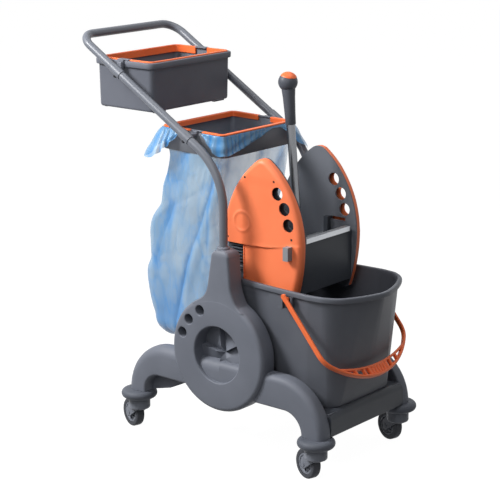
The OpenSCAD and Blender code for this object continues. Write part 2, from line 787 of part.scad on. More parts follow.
module tray_ring() {
    holder_ring(tray_x0, tray_len, tray_w / 2, tray_rim_z, tray_round, slope_x(tray_rim_z) + tray_clamp_ahead,
                tray_wall + slip + holder_taper * ring_skirt / tray_depth);
}

// Sleeve round the handle's tube with an arm up and in to a holder's rim
module clamp(side, rim_z_at, ahead, half, edge, lift) {
    x = slope_x(rim_z_at) + ahead;
    tube_z = slope_z(rim_z_at, ahead);
    arm_low = tube_z - arm_h / 2;
    color(DARK) difference() {
        union() {
            on_slope() translate([0, side * leg_y, slope_s(tube_z) - clamp_len / 2])
                cylinder(d = clamp_d, h = clamp_len);
            slab(side, edge, leg_y) translate([x - arm_w / 2, arm_low])
                square([arm_w, rim_z_at + lift + ring_h - arm_low]);
            slab(side, half - ring_w, edge + 1) translate([x - ring_gap / 2 + slip, rim_z_at + lift])
                square([ring_gap - 2 * slip, ring_h]);
        }
        on_slope() translate([0, side * leg_y, slope_s(tube_z) - clamp_len])
            cylinder(r = tube_r + fix_fit, h = 2 * clamp_len);
        under_tube(side, tube_z) cylinder(d = screw_d + 2 * fix_fit, h = clamp_d);
    }
}

module tray_clamp(side) {
    clamp(side, tray_rim_z, tray_clamp_ahead, tray_w / 2, tray_w / 2 + tray_flange, 0);
}

module bag_clamp(side) {
    clamp(side, bag_rim_z, bag_clamp_ahead, bag_w / 2, bag_w / 2, film);
}

module bag_collar() {
    low = bag_rim_z - collar_h;
    color(DARK) difference() {
        hopper(bag_x0, bag_len, bag_w / 2, low, bag_rim_z, collar_taper, bag_round);
        hopper(bag_x0 + collar_wall, bag_len - 2 * collar_wall, bag_w / 2 - collar_wall - collar_taper,
               low - 1, bag_rim_z + 1, 0, bag_round - collar_wall);
    }
}

module bag_ring() {
    holder_ring(bag_x0, bag_len, bag_w / 2, bag_rim_z + film, bag_round, slope_x(bag_rim_z) + bag_clamp_ahead,
                collar_wall + collar_taper + film + 2 * slip);
}

// A clamp's screw hole: z runs out from the tube's underside
module under_tube(side, tube_z) {
    on_slope() translate([0, side * leg_y, slope_s(tube_z)]) rotate([0, -90, 0])
        translate([0, 0, tube_r + fix_fit]) children();
}

module clamp_screws() {
    grip = clamp_d / 2 - tube_r - fix_fit;
    heights = [slope_z(tray_rim_z, tray_clamp_ahead), slope_z(bag_rim_z, bag_clamp_ahead)];
    color(STEEL) for (side = [RIGHT, LEFT], z = heights)
        under_tube(side, z) {
            cylinder(d = screw_d, h = grip);
            translate([0, 0, grip]) cylinder(d = screw_head_d, h = screw_head_h);
        }
}

module waste_bag() {
    last = len(bag_levels) - 1;
    color(FILM) difference() {
        ring_solid(concat(
            [bag_ring_at(last, film, film)],
            [for (i = [last - 1:-1:1]) bag_ring_at(i, film, 0)],
            [bag_ring_at(0, film, film), flap_ring(bag_rim_z + film, flap_gap + film, 0),
             flap_ring(flap_low, flap_out, 0), flap_ring(flap_low, flap_out, film),
             flap_ring(bag_rim_z, flap_gap + film, film)],
            [for (i = [0:last]) bag_ring_at(i, 0, 0)]));
        clamp_notch();
    }
}

// Room for the clamps in the bag's turned-down edge
module clamp_notch() {
    for (side = [RIGHT, LEFT])
        slab(side, bag_half + film + 1, leg_y)
            translate([slope_x(bag_rim_z) + bag_clamp_ahead - ring_gap / 2 - 2, bag_rim_z - collar_h])
                square([ring_gap + 4, 2 * collar_h]);
}

module bucket_shell() {
    ring_solid([
        plan_ring(floor_plan, 0, bucket_floor),
        plan_ring(rim_plan, 0, rim_z - rim_h),
        plan_ring(rim_plan, rim_lip, rim_z - rim_h),
        plan_ring(rim_plan, rim_lip, rim_z),
        plan_ring(rim_plan, -bucket_wall, rim_z),
        plan_ring(floor_plan, -bucket_wall, bucket_floor + bucket_wall)]);
}

// A ledge on each side inside the bucket, which the wringer's covers stand on
module bucket_ledges() {
    intersection() {
        ring_solid([plan_ring(floor_plan, -bucket_wall / 2, bucket_floor + 1),
                    plan_ring(rim_plan, -bucket_wall / 2, rim_z - rim_h)]);
        for (side = [RIGHT, LEFT])
            slab(side, plate_out + 1, wall_half) translate([ledge_x[0], wringer_low - ledge_t])
                square([ledge_x[1] - ledge_x[0], ledge_t]);
    }
}

module bucket() {
    color(DARK) difference() {
        union() {
            bucket_shell();
            bucket_ledges();
            for (side = [RIGHT, LEFT])
                slab(side, ear_in, ear_out) translate([bail_x, bail_z]) circle(d = ear_d);
        }
        for (side = [RIGHT, LEFT])
            slab(side, ear_out - ear_bore, ear_out + 1)
                translate([bail_x, bail_z]) circle(d = peg_d + 2 * run_fit);
    }
}

// The bail in its own plane: x runs from the pivots to the grip
module on_bail() {
    translate([bail_x, 0, bail_z]) rotate([0, bail_hang, 0]) children();
}

// A bar across the ladder, from the inner rail to the outer one
module ladder_bar(y, len) {
    x0 = rail_c + sqrt(pow(rail_r, 2) - pow(abs(y) + len / 2, 2));
    x1 = bow_c + sqrt(pow(bail_bow, 2) - pow(abs(y) + len / 2, 2));
    translate([x0, y - len / 2]) square([x1 - x0, len]);
}

module bail() {
    color(ORANGE) on_bail() {
        translate([0, 0, -bail_bar_w / 2]) linear_extrude(bail_bar_w) {
            polygon(concat(bail_edge(bail_bar_t / 2), reversed(bail_edge(-bail_bar_t / 2))));
            polygon(concat(rail_edge(bail_bar_t / 2), reversed(rail_edge(-bail_bar_t / 2))));
            for (y = strut_ys, side = [RIGHT, LEFT]) ladder_bar(side * y, ladder_strut);
            ladder_bar(0, bail_grip_len);
        }
        for (side = [RIGHT, LEFT]) {
            slab(side, bail_y - bail_bar_t / 2, bail_y + bail_bar_t / 2) circle(d = bail_hub_d);
            slab(side, ear_out - ear_bore + slip, bail_y) circle(d = peg_d);
        }
    }
}

module eye_holes(d) {
    for (p = eyes) translate(p) circle(d = d);
}

// The side plates' outline, drawn in by inset, with its back cut away at x below z
module leaf_plan(inset, x, z) {
    intersection() {
        polygon(leaf_pts(inset));
        union() {
            translate([leaf_back, z + inset]) square([leaf_w, 2 * leaf_r]);
            translate([x + inset, wringer_low + inset]) square([leaf_w, 2 * leaf_r]);
        }
    }
}

module cover_plan(inset) {
    leaf_plan(inset, step_x, step_z);
}

module side_plate(side) {
    slot = [press_t + press_travel + 2, lug_h + 2 * slip];
    color(DARK) slab(side, plate_in, plate_out) difference() {
        leaf_plan(0, plate_back, plate_step_z);
        eye_holes(eye_d);
        translate([shaft_x, shaft_z]) circle(d = shaft_d + 2 * run_fit);
        translate([press_x - 1, rack_top - lug_h - slip]) square(slot);
        translate(plate_bolt_at) circle(d = bolt_d + 2 * fix_fit);
    }
}

module tab_plan(grow) {
    translate(tab_at - [tab[0], tab[2]] / 2 - [grow, grow]) square([tab[0] + 2 * grow, tab[2] + 2 * grow]);
}

module side_cover(side) {
    low_out = cover_out - cover_step;
    color(ORANGE) difference() {
        union() {
            difference() {
                slab(side, plate_out, cover_out) cover_plan(0);
                slab(side, plate_out - 1, low_out - cover_wall) cover_plan(cover_wall);
                slab(side, low_out - cover_wall - 1, cover_out - cover_wall) intersection() {
                    cover_plan(cover_wall);
                    translate([leaf_back, step_z + cover_wall]) square([leaf_w, leaf_r]);
                }
                slab(side, low_out, cover_out + 1)
                    translate([leaf_back, wringer_low - 1]) square([leaf_w, step_z - wringer_low + 1]);
            }
            slab(side, plate_out, cover_out - 1) eye_holes(eye_d + 2 * cover_wall);
            slab(side, plate_out, cover_out - 1)
                for (p = cover_screws_at) translate(p) circle(d = cover_boss_d);
        }
        slab(side, plate_out - 1, cover_out + 1) eye_holes(eye_d);
        slab(side, plate_out - 1, cover_out + 1)
            for (p = cover_screws_at) translate(p) circle(d = cover_screw_d + 2 * fix_fit);
        slab(side, plate_out - 1, cover_out + 1) tab_plan(slip);
    }
}

module cover_screws() {
    color(STEEL) for (side = [RIGHT, LEFT], p = cover_screws_at)
        slab(side, plate_out, cover_out - 2) translate(p) circle(d = cover_screw_d);
}

module steel_tabs() {
    color(STEEL) for (side = [RIGHT, LEFT]) slab(side, plate_out, cover_out + tab[1]) tab_plan(0);
}

module plate_bolts() {
    color(STEEL) for (side = [RIGHT, LEFT]) {
        slab(side, plate_in, plate_out) translate(plate_bolt_at) circle(d = bolt_d);
        slab(side, plate_out, plate_out + plate_bolt_h)
            translate(plate_bolt_at) circle(d = plate_bolt_d, $fn = 6);
    }
}

// Trough between the side plates: front panel, drained floor and back panel
module press_basket() {
    color(DARK) difference() {
        across(plate_in) {
            translate([panel_x, basket_low]) square([basket_t, panel_top - basket_low]);
            translate([back_x, basket_low]) square([panel_x - back_x + basket_t, basket_t]);
            translate([back_x, basket_low]) square([basket_t, back_h]);
        }
        for (i = [0:5], j = [-3:3])
            translate([back_x + 20 + i * 22, j * 26, basket_low - 1]) cylinder(d = drain_d, h = basket_t + 2);
    }
}

module basket_bar() {
    color(STEEL) translate([panel_x + basket_t / 2 - bar_size[0] / 2, -bar_size[1] / 2, panel_top])
        cube(bar_size);
}

module press_plate() {
    floor_z = basket_low + basket_t + press_gap;
    half = plate_in - press_gap;
    color(DARK) {
        difference() {
            translate([press_x, -half, floor_z]) cube([press_t, 2 * half, press_top - floor_z]);
            for (y = [-3:3], z = [0, 1])
                translate([press_x - 1, y * 24, floor_z + 18 + z * 26]) rotate([0, 90, 0])
                    cylinder(d = drain_d, h = press_t + 2);
        }
        for (side = [RIGHT, LEFT]) {
            slab(side, half - press_arm, half)
                translate([press_x, press_top - 1]) square([press_t, rack_top - press_top + 1]);
            slab(side, half - 1, pinion_in)
                translate([press_x, rack_top - lug_h]) square([press_t, lug_h]);
        }
    }
}

module rack(side) {
    pitch = PI * gear_m;
    x0 = shaft_x - press_travel - rack_reach;
    x1 = shaft_x + rack_reach;
    half = pitch / 4 - backlash / 4;
    lean = tan(20);
    color(STEEL) slab(side, pinion_in, pinion_in + pinion_t) {
        translate([x0, rack_top - rack_h]) square([x1 - x0, rack_h]);
        for (k = [-12:2]) let (x = shaft_x + (k + 0.5) * pitch)
            if (x - pitch / 2 > x0 && x + pitch / 2 < x1 + 2)
                polygon([
                    [x - half - 1.25 * gear_m * lean, rack_top - rack_h + 0.5],
                    [x - half - 1.25 * gear_m * lean, rack_top - rack_h],
                    [x - half + gear_m * lean, pitch_z - gear_m], [x + half - gear_m * lean, pitch_z - gear_m],
                    [x + half + 1.25 * gear_m * lean, rack_top - rack_h],
                    [x + half + 1.25 * gear_m * lean, rack_top - rack_h + 0.5]]);
    }
}

module lever_shaft() {
    color(STEEL) across(pinion_in + pinion_t + 1) translate([shaft_x, shaft_z]) circle(d = shaft_d);
}

module pinion(side) {
    color(STEEL) slab(side, pinion_in, pinion_in + pinion_t) translate([shaft_x, shaft_z]) difference() {
        polygon(pinion_pts());
        circle(d = shaft_d + 2 * fix_fit);
    }
}

// The lever in its own frame: z runs from the shaft up to the grip
module on_lever() {
    translate([shaft_x, 0, shaft_z]) rotate([0, -lever_lean, 0]) children();
}

module lever_tube() {
    color(STEEL) on_lever() difference() {
        union() {
            translate([0, 0, lever_hub_d / 2 - 3]) cylinder(d = lever_d, h = ball_z - lever_hub_d / 2 + 3);
            rotate([90, 0, 0]) translate([0, 0, -lever_hub_w / 2]) cylinder(d = lever_hub_d, h = lever_hub_w);
        }
        rotate([90, 0, 0]) translate([0, 0, -lever_hub_w])
            cylinder(d = shaft_d + 2 * fix_fit, h = 2 * lever_hub_w);
        translate([0, 0, lever_hub_d / 2 + lever_wall]) cylinder(d = lever_d - 2 * lever_wall, h = lever_len);
    }
}

module lever_grip() {
    grip_r0 = lever_d / 2 + 2;
    grip_r1 = lever_d / 2 + 6;
    color(GREY) on_lever() difference() {
        union() {
            translate([0, 0, grip_z]) cylinder(r1 = grip_r0, r2 = grip_r1, h = grip_len);
            translate([0, 0, ball_z]) sphere(d = ball_d);
        }
        translate([0, 0, grip_z - 1]) cylinder(d = lever_d + 2 * fix_fit, h = ball_z - grip_z + 1 + fix_fit);
        translate([0, 0, lever_len - cap_h]) cylinder(d = ball_d, h = ball_d);
    }
}

module lever_cap() {
    color(ORANGE) on_lever() intersection() {
        translate([0, 0, ball_z]) sphere(d = ball_d);
        translate([0, 0, lever_len - cap_h]) cylinder(d = ball_d, h = cap_h);
    }
}

side_frame(RIGHT);  // side_frame_right
side_frame(LEFT);  // side_frame_left
base_platform();
front_beam();
rear_beam();
frame_bolts();
bumper_ring("front", RIGHT);  // bumper_ring_front_right
bumper_ring("front", LEFT);  // bumper_ring_front_left
bumper_ring("rear", RIGHT);  // bumper_ring_rear_right
bumper_ring("rear", LEFT);  // bumper_ring_rear_left
caster_stems();
fork("front", RIGHT);  // fork_front_right
fork("front", LEFT);  // fork_front_left
fork("rear", RIGHT);  // fork_rear_right
fork("rear", LEFT);  // fork_rear_left
axle("front", RIGHT);  // axle_front_right
axle("front", LEFT);  // axle_front_left
axle("rear", RIGHT);  // axle_rear_right
axle("rear", LEFT);  // axle_rear_left
wheel_core("front", RIGHT);  // wheel_core_front_right
wheel_core("front", LEFT);  // wheel_core_front_left
wheel_core("rear", RIGHT);  // wheel_core_rear_right
wheel_core("rear", LEFT);  // wheel_core_rear_left
tyre("front", RIGHT);  // tyre_front_right
tyre("front", LEFT);  // tyre_front_left
tyre("rear", RIGHT);  // tyre_rear_right
tyre("rear", LEFT);  // tyre_rear_left
handle_tube();
tray_box();
tray_ring();
tray_clamp(RIGHT);  // tray_clamp_right
tray_clamp(LEFT);  // tray_clamp_left
bag_collar();
bag_ring();
bag_clamp(RIGHT);  // bag_clamp_right
bag_clamp(LEFT);  // bag_clamp_left
clamp_screws();
waste_bag();
bucket();
bail();
side_plate(RIGHT);  // side_plate_right
side_plate(LEFT);  // side_plate_left
side_cover(RIGHT);  // side_cover_right
side_cover(LEFT);  // side_cover_left
cover_screws();
press_basket();
basket_bar();
steel_tabs();
plate_bolts();
press_plate();
rack(RIGHT);  // rack_right
rack(LEFT);  // rack_left
lever_shaft();
pinion(RIGHT);  // pinion_right
pinion(LEFT);  // pinion_left
lever_tube();
lever_grip();
lever_cap();
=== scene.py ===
# %% [markdown]
# # A janitor cart, dressed in Blender
# The cart's sizes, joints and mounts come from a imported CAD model. This lesson puts the looks on it: the
# soft edges of moulded plastic, the rolled rim of the bucket, the creased film of the waste bag, and a
# finish for every piece. Every length below is in millimetres until a mesh is made; Blender itself works
# in metres.

# %% Load the frame
import json

import bmesh
import bpy
import numpy as np
from math import cos, pi, radians, sin, sqrt
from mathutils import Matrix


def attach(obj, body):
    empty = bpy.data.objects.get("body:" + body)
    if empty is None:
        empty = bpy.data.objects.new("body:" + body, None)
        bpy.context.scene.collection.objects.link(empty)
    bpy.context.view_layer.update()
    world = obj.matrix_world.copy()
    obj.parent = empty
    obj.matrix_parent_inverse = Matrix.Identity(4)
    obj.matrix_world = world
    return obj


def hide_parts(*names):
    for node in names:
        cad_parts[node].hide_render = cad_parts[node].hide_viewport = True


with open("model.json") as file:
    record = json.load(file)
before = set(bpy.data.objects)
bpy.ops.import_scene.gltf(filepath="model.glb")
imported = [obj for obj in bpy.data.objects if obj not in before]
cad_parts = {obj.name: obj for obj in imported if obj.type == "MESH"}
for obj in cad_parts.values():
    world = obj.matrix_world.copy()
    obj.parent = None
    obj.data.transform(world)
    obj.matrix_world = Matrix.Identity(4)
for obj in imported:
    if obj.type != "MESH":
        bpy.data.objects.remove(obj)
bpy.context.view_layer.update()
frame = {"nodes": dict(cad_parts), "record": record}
MM = 0.001
RIGHT, LEFT = -1, 1
SIDES = {"right": RIGHT, "left": LEFT}

# %% [markdown]
# ## The camera
# The photograph was taken with a long lens from the cart's front right. Its place and angle were worked
# out from the straight edges and circles of the cart, so the camera is simply put there.

# %% Camera
def added(name, data):
    """A new object in the scene."""
    obj = bpy.data.objects.new(name, data)
    bpy.context.scene.collection.objects.link(obj)
    return obj


camera_data = bpy.data.cameras.new("photo_camera")
camera_data.sensor_width = 36
camera_data.lens = 120.82
camera = added("photo_camera", camera_data)
camera.location = (2.58076, -3.14796, 1.52721)
camera.rotation_euler = (radians(90 - 14.4546), 0, radians(39.349))
bpy.context.scene.camera = camera
print("lens", round(camera_data.lens, 1), "mm")

# %% [markdown]
# ## Finishes
# Nearly everything on a cart like this is moulded polypropylene. Its mould has a fine spark-eroded grain,
# which makes the surface satin rather than glossy. A material here is one Principled shader with its own
# numbers, a colour that drifts very slightly, and a bump for the grain. One small function adds a node
# with its settings and links.


# %% Functions for nodes and colours
def node(tree, kind, settings=(), **links):
    """Adds a node; settings are properties or socket values, links maps sockets to other nodes' outputs."""
    made = tree.nodes.new(kind)
    for key, value in dict(settings).items():
        if hasattr(made, key):
            setattr(made, key, value)
        else:
            made.inputs[key].default_value = value
    for key, source in links.items():
        tree.links.new(source, made.inputs[key])
    return made


def calc(tree, operation, *values):
    """The result of a math node; each value is a number or another node's output."""
    made = node(tree, "ShaderNodeMath", {"operation": operation})
    for socket, value in zip(made.inputs, values):
        if isinstance(value, float):
            socket.default_value = value
        else:
            tree.links.new(value, socket)
    return made.outputs[0]


def span(tree, value, low, high, to_low=0.0, to_high=1.0):
    """A value brought from one range to another, and held inside it."""
    ends = {"From Min": low, "From Max": high, "To Min": to_low, "To Max": to_high}
    return node(tree, "ShaderNodeMapRange", ends, Value=value).outputs["Result"]


def noise(tree, size_mm, detail, where):
    """Noise whose features are about size_mm across."""
    settings = {"Scale": 1 / (size_mm * MM), "Detail": detail}
    return node(tree, "ShaderNodeTexNoise", settings, Vector=where).outputs["Fac"]


def stretched(tree, where, **settings):
    """Coordinates pulled or turned by a mapping node."""
    return node(tree, "ShaderNodeMapping", settings, Vector=where).outputs["Vector"]


def linear(code, alpha=1.0):
    """sRGB hex to linear: c/12.92 below 0.04045, else ((c+0.055)/1.055)^2.4."""
    c = np.array([int(code[i : i + 2], 16) for i in (1, 3, 5)]) / 255
    c = np.where(c <= 0.04045, c / 12.92, ((c + 0.055) / 1.055) ** 2.4)
    return (*c.tolist(), alpha)


def blank(name):
    """A new material with its node tree, its shader and the coordinates of the piece that wears it."""
    mat = bpy.data.materials.new(name)
    mat.use_nodes = True
    tree = mat.node_tree
    return mat, tree, tree.nodes["Principled BSDF"], node(tree, "ShaderNodeTexCoord").outputs["Object"]


def grained(tree, shader, height, rough, spread, strength, depth):
    """Links a fine pattern to a shader, as bump and as roughness that spreads below and above rough."""
    bump = node(tree, "ShaderNodeBump", {"Strength": strength, "Distance": depth}, Height=height)
    gloss = span(tree, height, 0.3, 0.7, rough - spread[0], rough + spread[1])
    tree.links.new(bump.outputs["Normal"], shader.inputs["Normal"])
    tree.links.new(gloss, shader.inputs["Roughness"])


# %% [markdown]
# The grain of a textured mould is about 0.3 mm, too fine to show at this distance, so it is drawn about
# four times coarser and very shallow. A second, broad noise lets the colour drift by a few percent, as
# pigment and flow lines do.


# %% Moulded plastic
def moulded(name, dark, light, rough=0.5, grain_mm=1.2, grain=0.08, specular=0.22):
    """Polypropylene from a textured mould: a satin surface whose colour drifts between two close tones."""
    mat, tree, shader, where = blank(name)
    ramp = node(tree, "ShaderNodeValToRGB", Fac=noise(tree, 90, 3.0, where))
    for k, (place, tone) in enumerate(((0.35, dark), (0.65, light))):
        ramp.color_ramp.elements[k].position = place
        ramp.color_ramp.elements[k].color = linear(tone)
    tree.links.new(ramp.outputs["Color"], shader.inputs["Base Color"])
    grained(tree, shader, noise(tree, grain_mm, 2.0, where), rough, (0.05, 0.06), grain, 0.0003)
    shader.inputs["IOR"].default_value = 1.49
    shader.inputs["Specular IOR Level"].default_value = specular
    return mat


grey_frame = moulded("grey polypropylene", "#6b6f79", "#70747e")
dark_tub = moulded("dark polypropylene", "#5c5f67", "#61646c", rough=0.45)
dark_plate = moulded("charcoal polypropylene", "#6a6d74", "#6f7279", rough=0.42)
# The black finish also stands for painted shade on the right side plate.
black_plastic_and_plate_shade = moulded("black polypropylene", "#42464d", "#474b52", rough=0.42)
orange_shell = moulded("orange polypropylene", "#f06c34", "#f3723a", rough=0.44, grain=0.05, specular=0.5)
# The covers are the same orange plastic as the rings and bail; their paler tone is painted sheen.
orange_with_painted_sheen = moulded("pale orange polypropylene", "#f67c4d", "#f98253", rough=0.5, grain=0.05, specular=0.5)
tray_grey = moulded("slate polypropylene", "#63666f", "#686b74", rough=0.48)
grip_grey = moulded("grey grip plastic", "#4d5058", "#52555d", rough=0.42)
caster_grey = moulded("grey nylon", "#7c808a", "#828690", rough=0.42)
bumper_grey = moulded("grey bumper rubber", "#565a63", "#5b5f68", rough=0.6, specular=0.3)
tyre_grey = moulded(
    "grey tyre rubber", "#43454b", "#4a4c52", rough=0.65, grain_mm=2.0, grain=0.15, specular=0.3
)

# %% [markdown]
# The handle is steel tube under powder coat, whose fine orange-peel ripple is about 1.6 mm across. The
# lever is bare drawn tube, with faint lines along its length. The cart's bolts are zinc plated and a
# little cloudy; the small screws are black.

# %% Coated and bare steel
coated_tube = moulded(
    "powder coated steel", "#5f636c", "#646871", rough=0.38, grain_mm=1.6, grain=0.12, specular=0.5
)


def bare_steel(name, tone, rough, stretch=(1, 1, 1)):
    """Bare steel with drawn lines or clouds in its roughness; stretch pulls the pattern along an axis."""
    mat, tree, shader, where = blank(name)
    lines = noise(tree, 2.5, 4.0, stretched(tree, where, Scale=stretch))
    grained(tree, shader, lines, rough, (0.07, 0.1), 0.06, 0.0002)
    shader.inputs["Base Color"].default_value = linear(tone)
    shader.inputs["Metallic"].default_value = 1.0
    return mat


# Blackened steel for the screws; the same finish paints the shade in the bucket's ear slots.
black_steel_and_slot_shade = moulded("blackened steel", "#2c2d30", "#333438", rough=0.35)
tab_steel = moulded("satin steel", "#8b8d91", "#929498", rough=0.35)
drawn_steel = bare_steel("drawn steel tube", "#808286", 0.3, stretch=(1, 1, 0.05))
zinc_steel = bare_steel("zinc plated steel", "#b9bcc0", 0.4)

# %% [markdown]
# The bag is thin blue film. One layer lets much of the light behind it through; where it is folded,
# several layers lie over each other and the blue deepens. The mesh carries two values of its own: fold is
# 1 along a crease, and clear is 1 where the film hangs flat and single and 2 where it clings to the
# collar. Fine slanted lines stand for the small wrinkles.


# %% Blue film
def thin_film(name, pale, deep):
    """Polyethylene film: part of it is see-through, and creases are bluer and denser."""
    mat, tree, shader, where = blank(name)
    fold = node(tree, "ShaderNodeAttribute", {"attribute_name": "fold"}).outputs["Fac"]
    clear = node(tree, "ShaderNodeAttribute", {"attribute_name": "clear"}).outputs["Fac"]
    cloud = span(tree, noise(tree, 75, 5.0, stretched(tree, where, Scale=(1, 1, 0.4))), 0.45, 0.72)
    slant = stretched(tree, where, Rotation=(0, radians(28), 0), Scale=(1, 1, 0.22))
    ridge = calc(tree, "ABSOLUTE", calc(tree, "SUBTRACT", noise(tree, 34, 3.0, slant), 0.5))
    wrinkles = span(tree, ridge, 0.0, 0.035, 0.3, 0.0)
    folded = calc(tree, "ADD", calc(tree, "MULTIPLY_ADD", cloud, 0.4, fold), wrinkles)
    tint = span(tree, folded, 0.0, 1.2)
    ramp = node(tree, "ShaderNodeValToRGB", Fac=tint)
    for k, tone in enumerate((pale, deep)):
        ramp.color_ramp.elements[k].color = linear(tone)
    dense = span(tree, tint, 0.0, 1.0, 0.46, 0.8)
    single = span(tree, clear, 0.0, 2.0, 1.0, 0.06)
    tree.links.new(ramp.outputs["Color"], shader.inputs["Base Color"])
    tree.links.new(calc(tree, "MULTIPLY", dense, single), shader.inputs["Alpha"])
    shader.inputs["Roughness"].default_value = 0.32
    shader.inputs["IOR"].default_value = 1.5
    return mat


blue_film = thin_film("blue polyethylene film", "#8ab7d6", "#3f8ccc")
print("finishes:", len(bpy.data.materials))

# %% [markdown]
# ## Surfaces from arrays
# Each new piece is a grid of points. Rows run along the piece and columns run round it, so a whole tube,
# rim or leg is one array, and the quads between neighbouring points follow from the array's shape. A ring
# of points drawn in to its middle closes an end.


# %% Grids, sections and pieces
def quads(points, wrap_rows=False):
    """Points (rows, columns, 3) and the quads between neighbours; the columns close round."""
    rows, cols = points.shape[:2]
    i, j = np.meshgrid(np.arange(rows if wrap_rows else rows - 1), np.arange(cols), indexing="ij")
    k, m = (i + 1) % rows, (j + 1) % cols
    faces = np.stack([i * cols + j, k * cols + j, k * cols + m, i * cols + m], -1).reshape(-1, 4)
    return points.reshape(-1, 3), faces


def capped(rings):
    """A tube of rings (k, m, 3) whose two ends are drawn in to their middle points."""
    ends = rings[[0, -1]].mean(1, keepdims=True).repeat(rings.shape[1], 1)
    return quads(np.concatenate([ends[:1], rings, ends[1:]]))


def rounded(w, h, r, n=6):
    """A w by h rectangle about the origin; r is one corner radius, or four from the right top round."""
    r = np.broadcast_to(np.asarray(r, float), 4)
    a = np.linspace(0, pi / 2, n + 1)
    signs = np.array([[1, 1], [-1, 1], [-1, -1], [1, -1]])
    turn = np.arange(4)[:, None] * pi / 2 + a
    x = signs[:, :1] * (w / 2 - r[:, None]) + r[:, None] * np.cos(turn)
    y = signs[:, 1:] * (h / 2 - r[:, None]) + r[:, None] * np.sin(turn)
    return np.stack([x.ravel(), y.ravel()], -1)


def arc(cx, cy, r, a0, a1, n=12):
    """n + 1 points on a circle's arc, angles in degrees."""
    a = np.radians(np.linspace(a0, a1, n + 1))
    return np.stack([cx + r * np.cos(a), cy + r * np.sin(a)], -1)


def revolved(profile, centre, axis, n=64):
    """Turns a profile of (radius, height) rows about an axis through centre."""
    axis = np.asarray(axis, float) / np.linalg.norm(axis)
    e1 = np.cross(axis, [1.0, 0.13, 0.07])
    e1 /= np.linalg.norm(e1)
    e2 = np.cross(axis, e1)
    t = np.arange(n) * 2 * pi / n
    p = np.asarray(profile, float)
    round_it = np.cos(t)[:, None] * e1 + np.sin(t)[:, None] * e2
    return quads(np.asarray(centre) + p[:, 1, None, None] * axis + p[:, 0, None, None] * round_it)


def swept(path, section, ref):
    """Carries a section (a along ref's part across the path, b along the third direction) along a path."""
    path = np.asarray(path, float)
    t = np.gradient(path, axis=0)
    t /= np.linalg.norm(t, axis=1, keepdims=True)
    ref = np.broadcast_to(np.asarray(ref, float), path.shape)
    e1 = ref - (ref * t).sum(1, keepdims=True) * t
    e1 /= np.linalg.norm(e1, axis=1, keepdims=True)
    e2 = np.cross(t, e1)
    section = np.broadcast_to(section, (len(path), *section.shape[-2:]))
    return path[:, None] + section[..., :1] * e1[:, None] + section[..., 1:] * e2[:, None]


def block(low, high, r, axis=2, n=4):
    """A box between two corners; its edges along an axis have radius r and its ends are softened by r."""
    low, high = np.asarray(low, float), np.asarray(high, float)
    u, v = [k for k in range(3) if k != axis]
    size, mid = high - low, (high + low) / 2
    a = np.linspace(0, pi / 2, n + 1)
    inset = np.concatenate([r * (1 - np.sin(a)), r * (1 - np.sin(a[::-1]))])
    along = np.concatenate([low[axis] + r * (1 - np.cos(a)), high[axis] - r * (1 - np.cos(a[::-1]))])
    rings = np.empty((len(along), 4 * (n + 1), 3))
    for row, (d, s) in enumerate(zip(inset, along)):
        loop = rounded(size[u] - 2 * d, size[v] - 2 * d, max(r - d * 0.6, 0.05), n)
        rings[row, :, u] = mid[u] + loop[:, 0]
        rings[row, :, v] = mid[v] + loop[:, 1]
        rings[row, :, axis] = s
    return capped(rings)


def mirrored(patches):
    """The same patches on the other side of the mid-plane."""
    return [(p * [1, -1, 1], f) for p, f in patches]


def stacked(patches):
    """Several patches as one list of points and faces."""
    start = np.cumsum([0] + [len(p) for p, _ in patches[:-1]])
    faces = [f + s for (_, f), s in zip(patches, start)]
    return np.concatenate([p for p, _ in patches]), np.concatenate(faces)


def on_side(side, patches):
    """Patches drawn for the right, on either side."""
    return patches if side == RIGHT else mirrored(patches)


def shaded(mesh, crease):
    """Smooth shading; edges sharper than crease stay sharp."""
    mesh.polygons.foreach_set("use_smooth", np.ones(len(mesh.polygons), bool))
    mesh.set_sharp_from_angle(angle=radians(crease))
    return mesh


def mesh_of(name, patches, crease=38):
    """Patches as one mesh: doubles merged, faces turned outwards, edges sharper than crease kept sharp."""
    points, faces = stacked(patches)
    mesh = bpy.data.meshes.new(name)
    mesh.from_pydata(points * MM, [], [tuple(dict.fromkeys(f)) for f in faces.tolist()])
    work = bmesh.new()
    work.from_mesh(mesh)
    bmesh.ops.remove_doubles(work, verts=work.verts, dist=2e-6)
    bmesh.ops.dissolve_degenerate(work, edges=work.edges, dist=1e-7)
    bmesh.ops.recalc_face_normals(work, faces=work.faces)
    work.to_mesh(mesh)
    work.free()
    return shaded(mesh, crease)


made = {}


def piece(name, patches, finish, body, slot, nodes=(), crease=38):
    """A finished piece: mesh, finish, the body that it rides on, slot (not used), and the CAD nodes it stands
    for.
    """
    mesh = patches if isinstance(patches, bpy.types.Mesh) else mesh_of(name, patches, crease)
    obj = added(name, mesh)
    mesh.materials.clear()
    mesh.materials.append(finish)
    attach(obj, body)
    if nodes:
        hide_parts(*nodes)
    made[name] = obj
    return obj


def carved(name, shape, cutters, crease=38):
    """A mesh, or the mesh of some patches, with other closed shapes cut out of it."""
    body = added(name, shape if isinstance(shape, bpy.types.Mesh) else mesh_of(name, shape))
    tool = added(name + "_tool", mesh_of(name + "_tool", cutters))
    cut = body.modifiers.new("cut", "BOOLEAN")
    cut.object, cut.operation, cut.solver = tool, "DIFFERENCE", "EXACT"
    cut.use_self = True
    seen = body.evaluated_get(bpy.context.evaluated_depsgraph_get())
    mesh = bpy.data.meshes.new_from_object(seen)
    for o in (body, tool):
        old = o.data
        bpy.data.objects.remove(o)
        bpy.data.meshes.remove(old)
    mesh.name = name
    return shaded(mesh, crease)


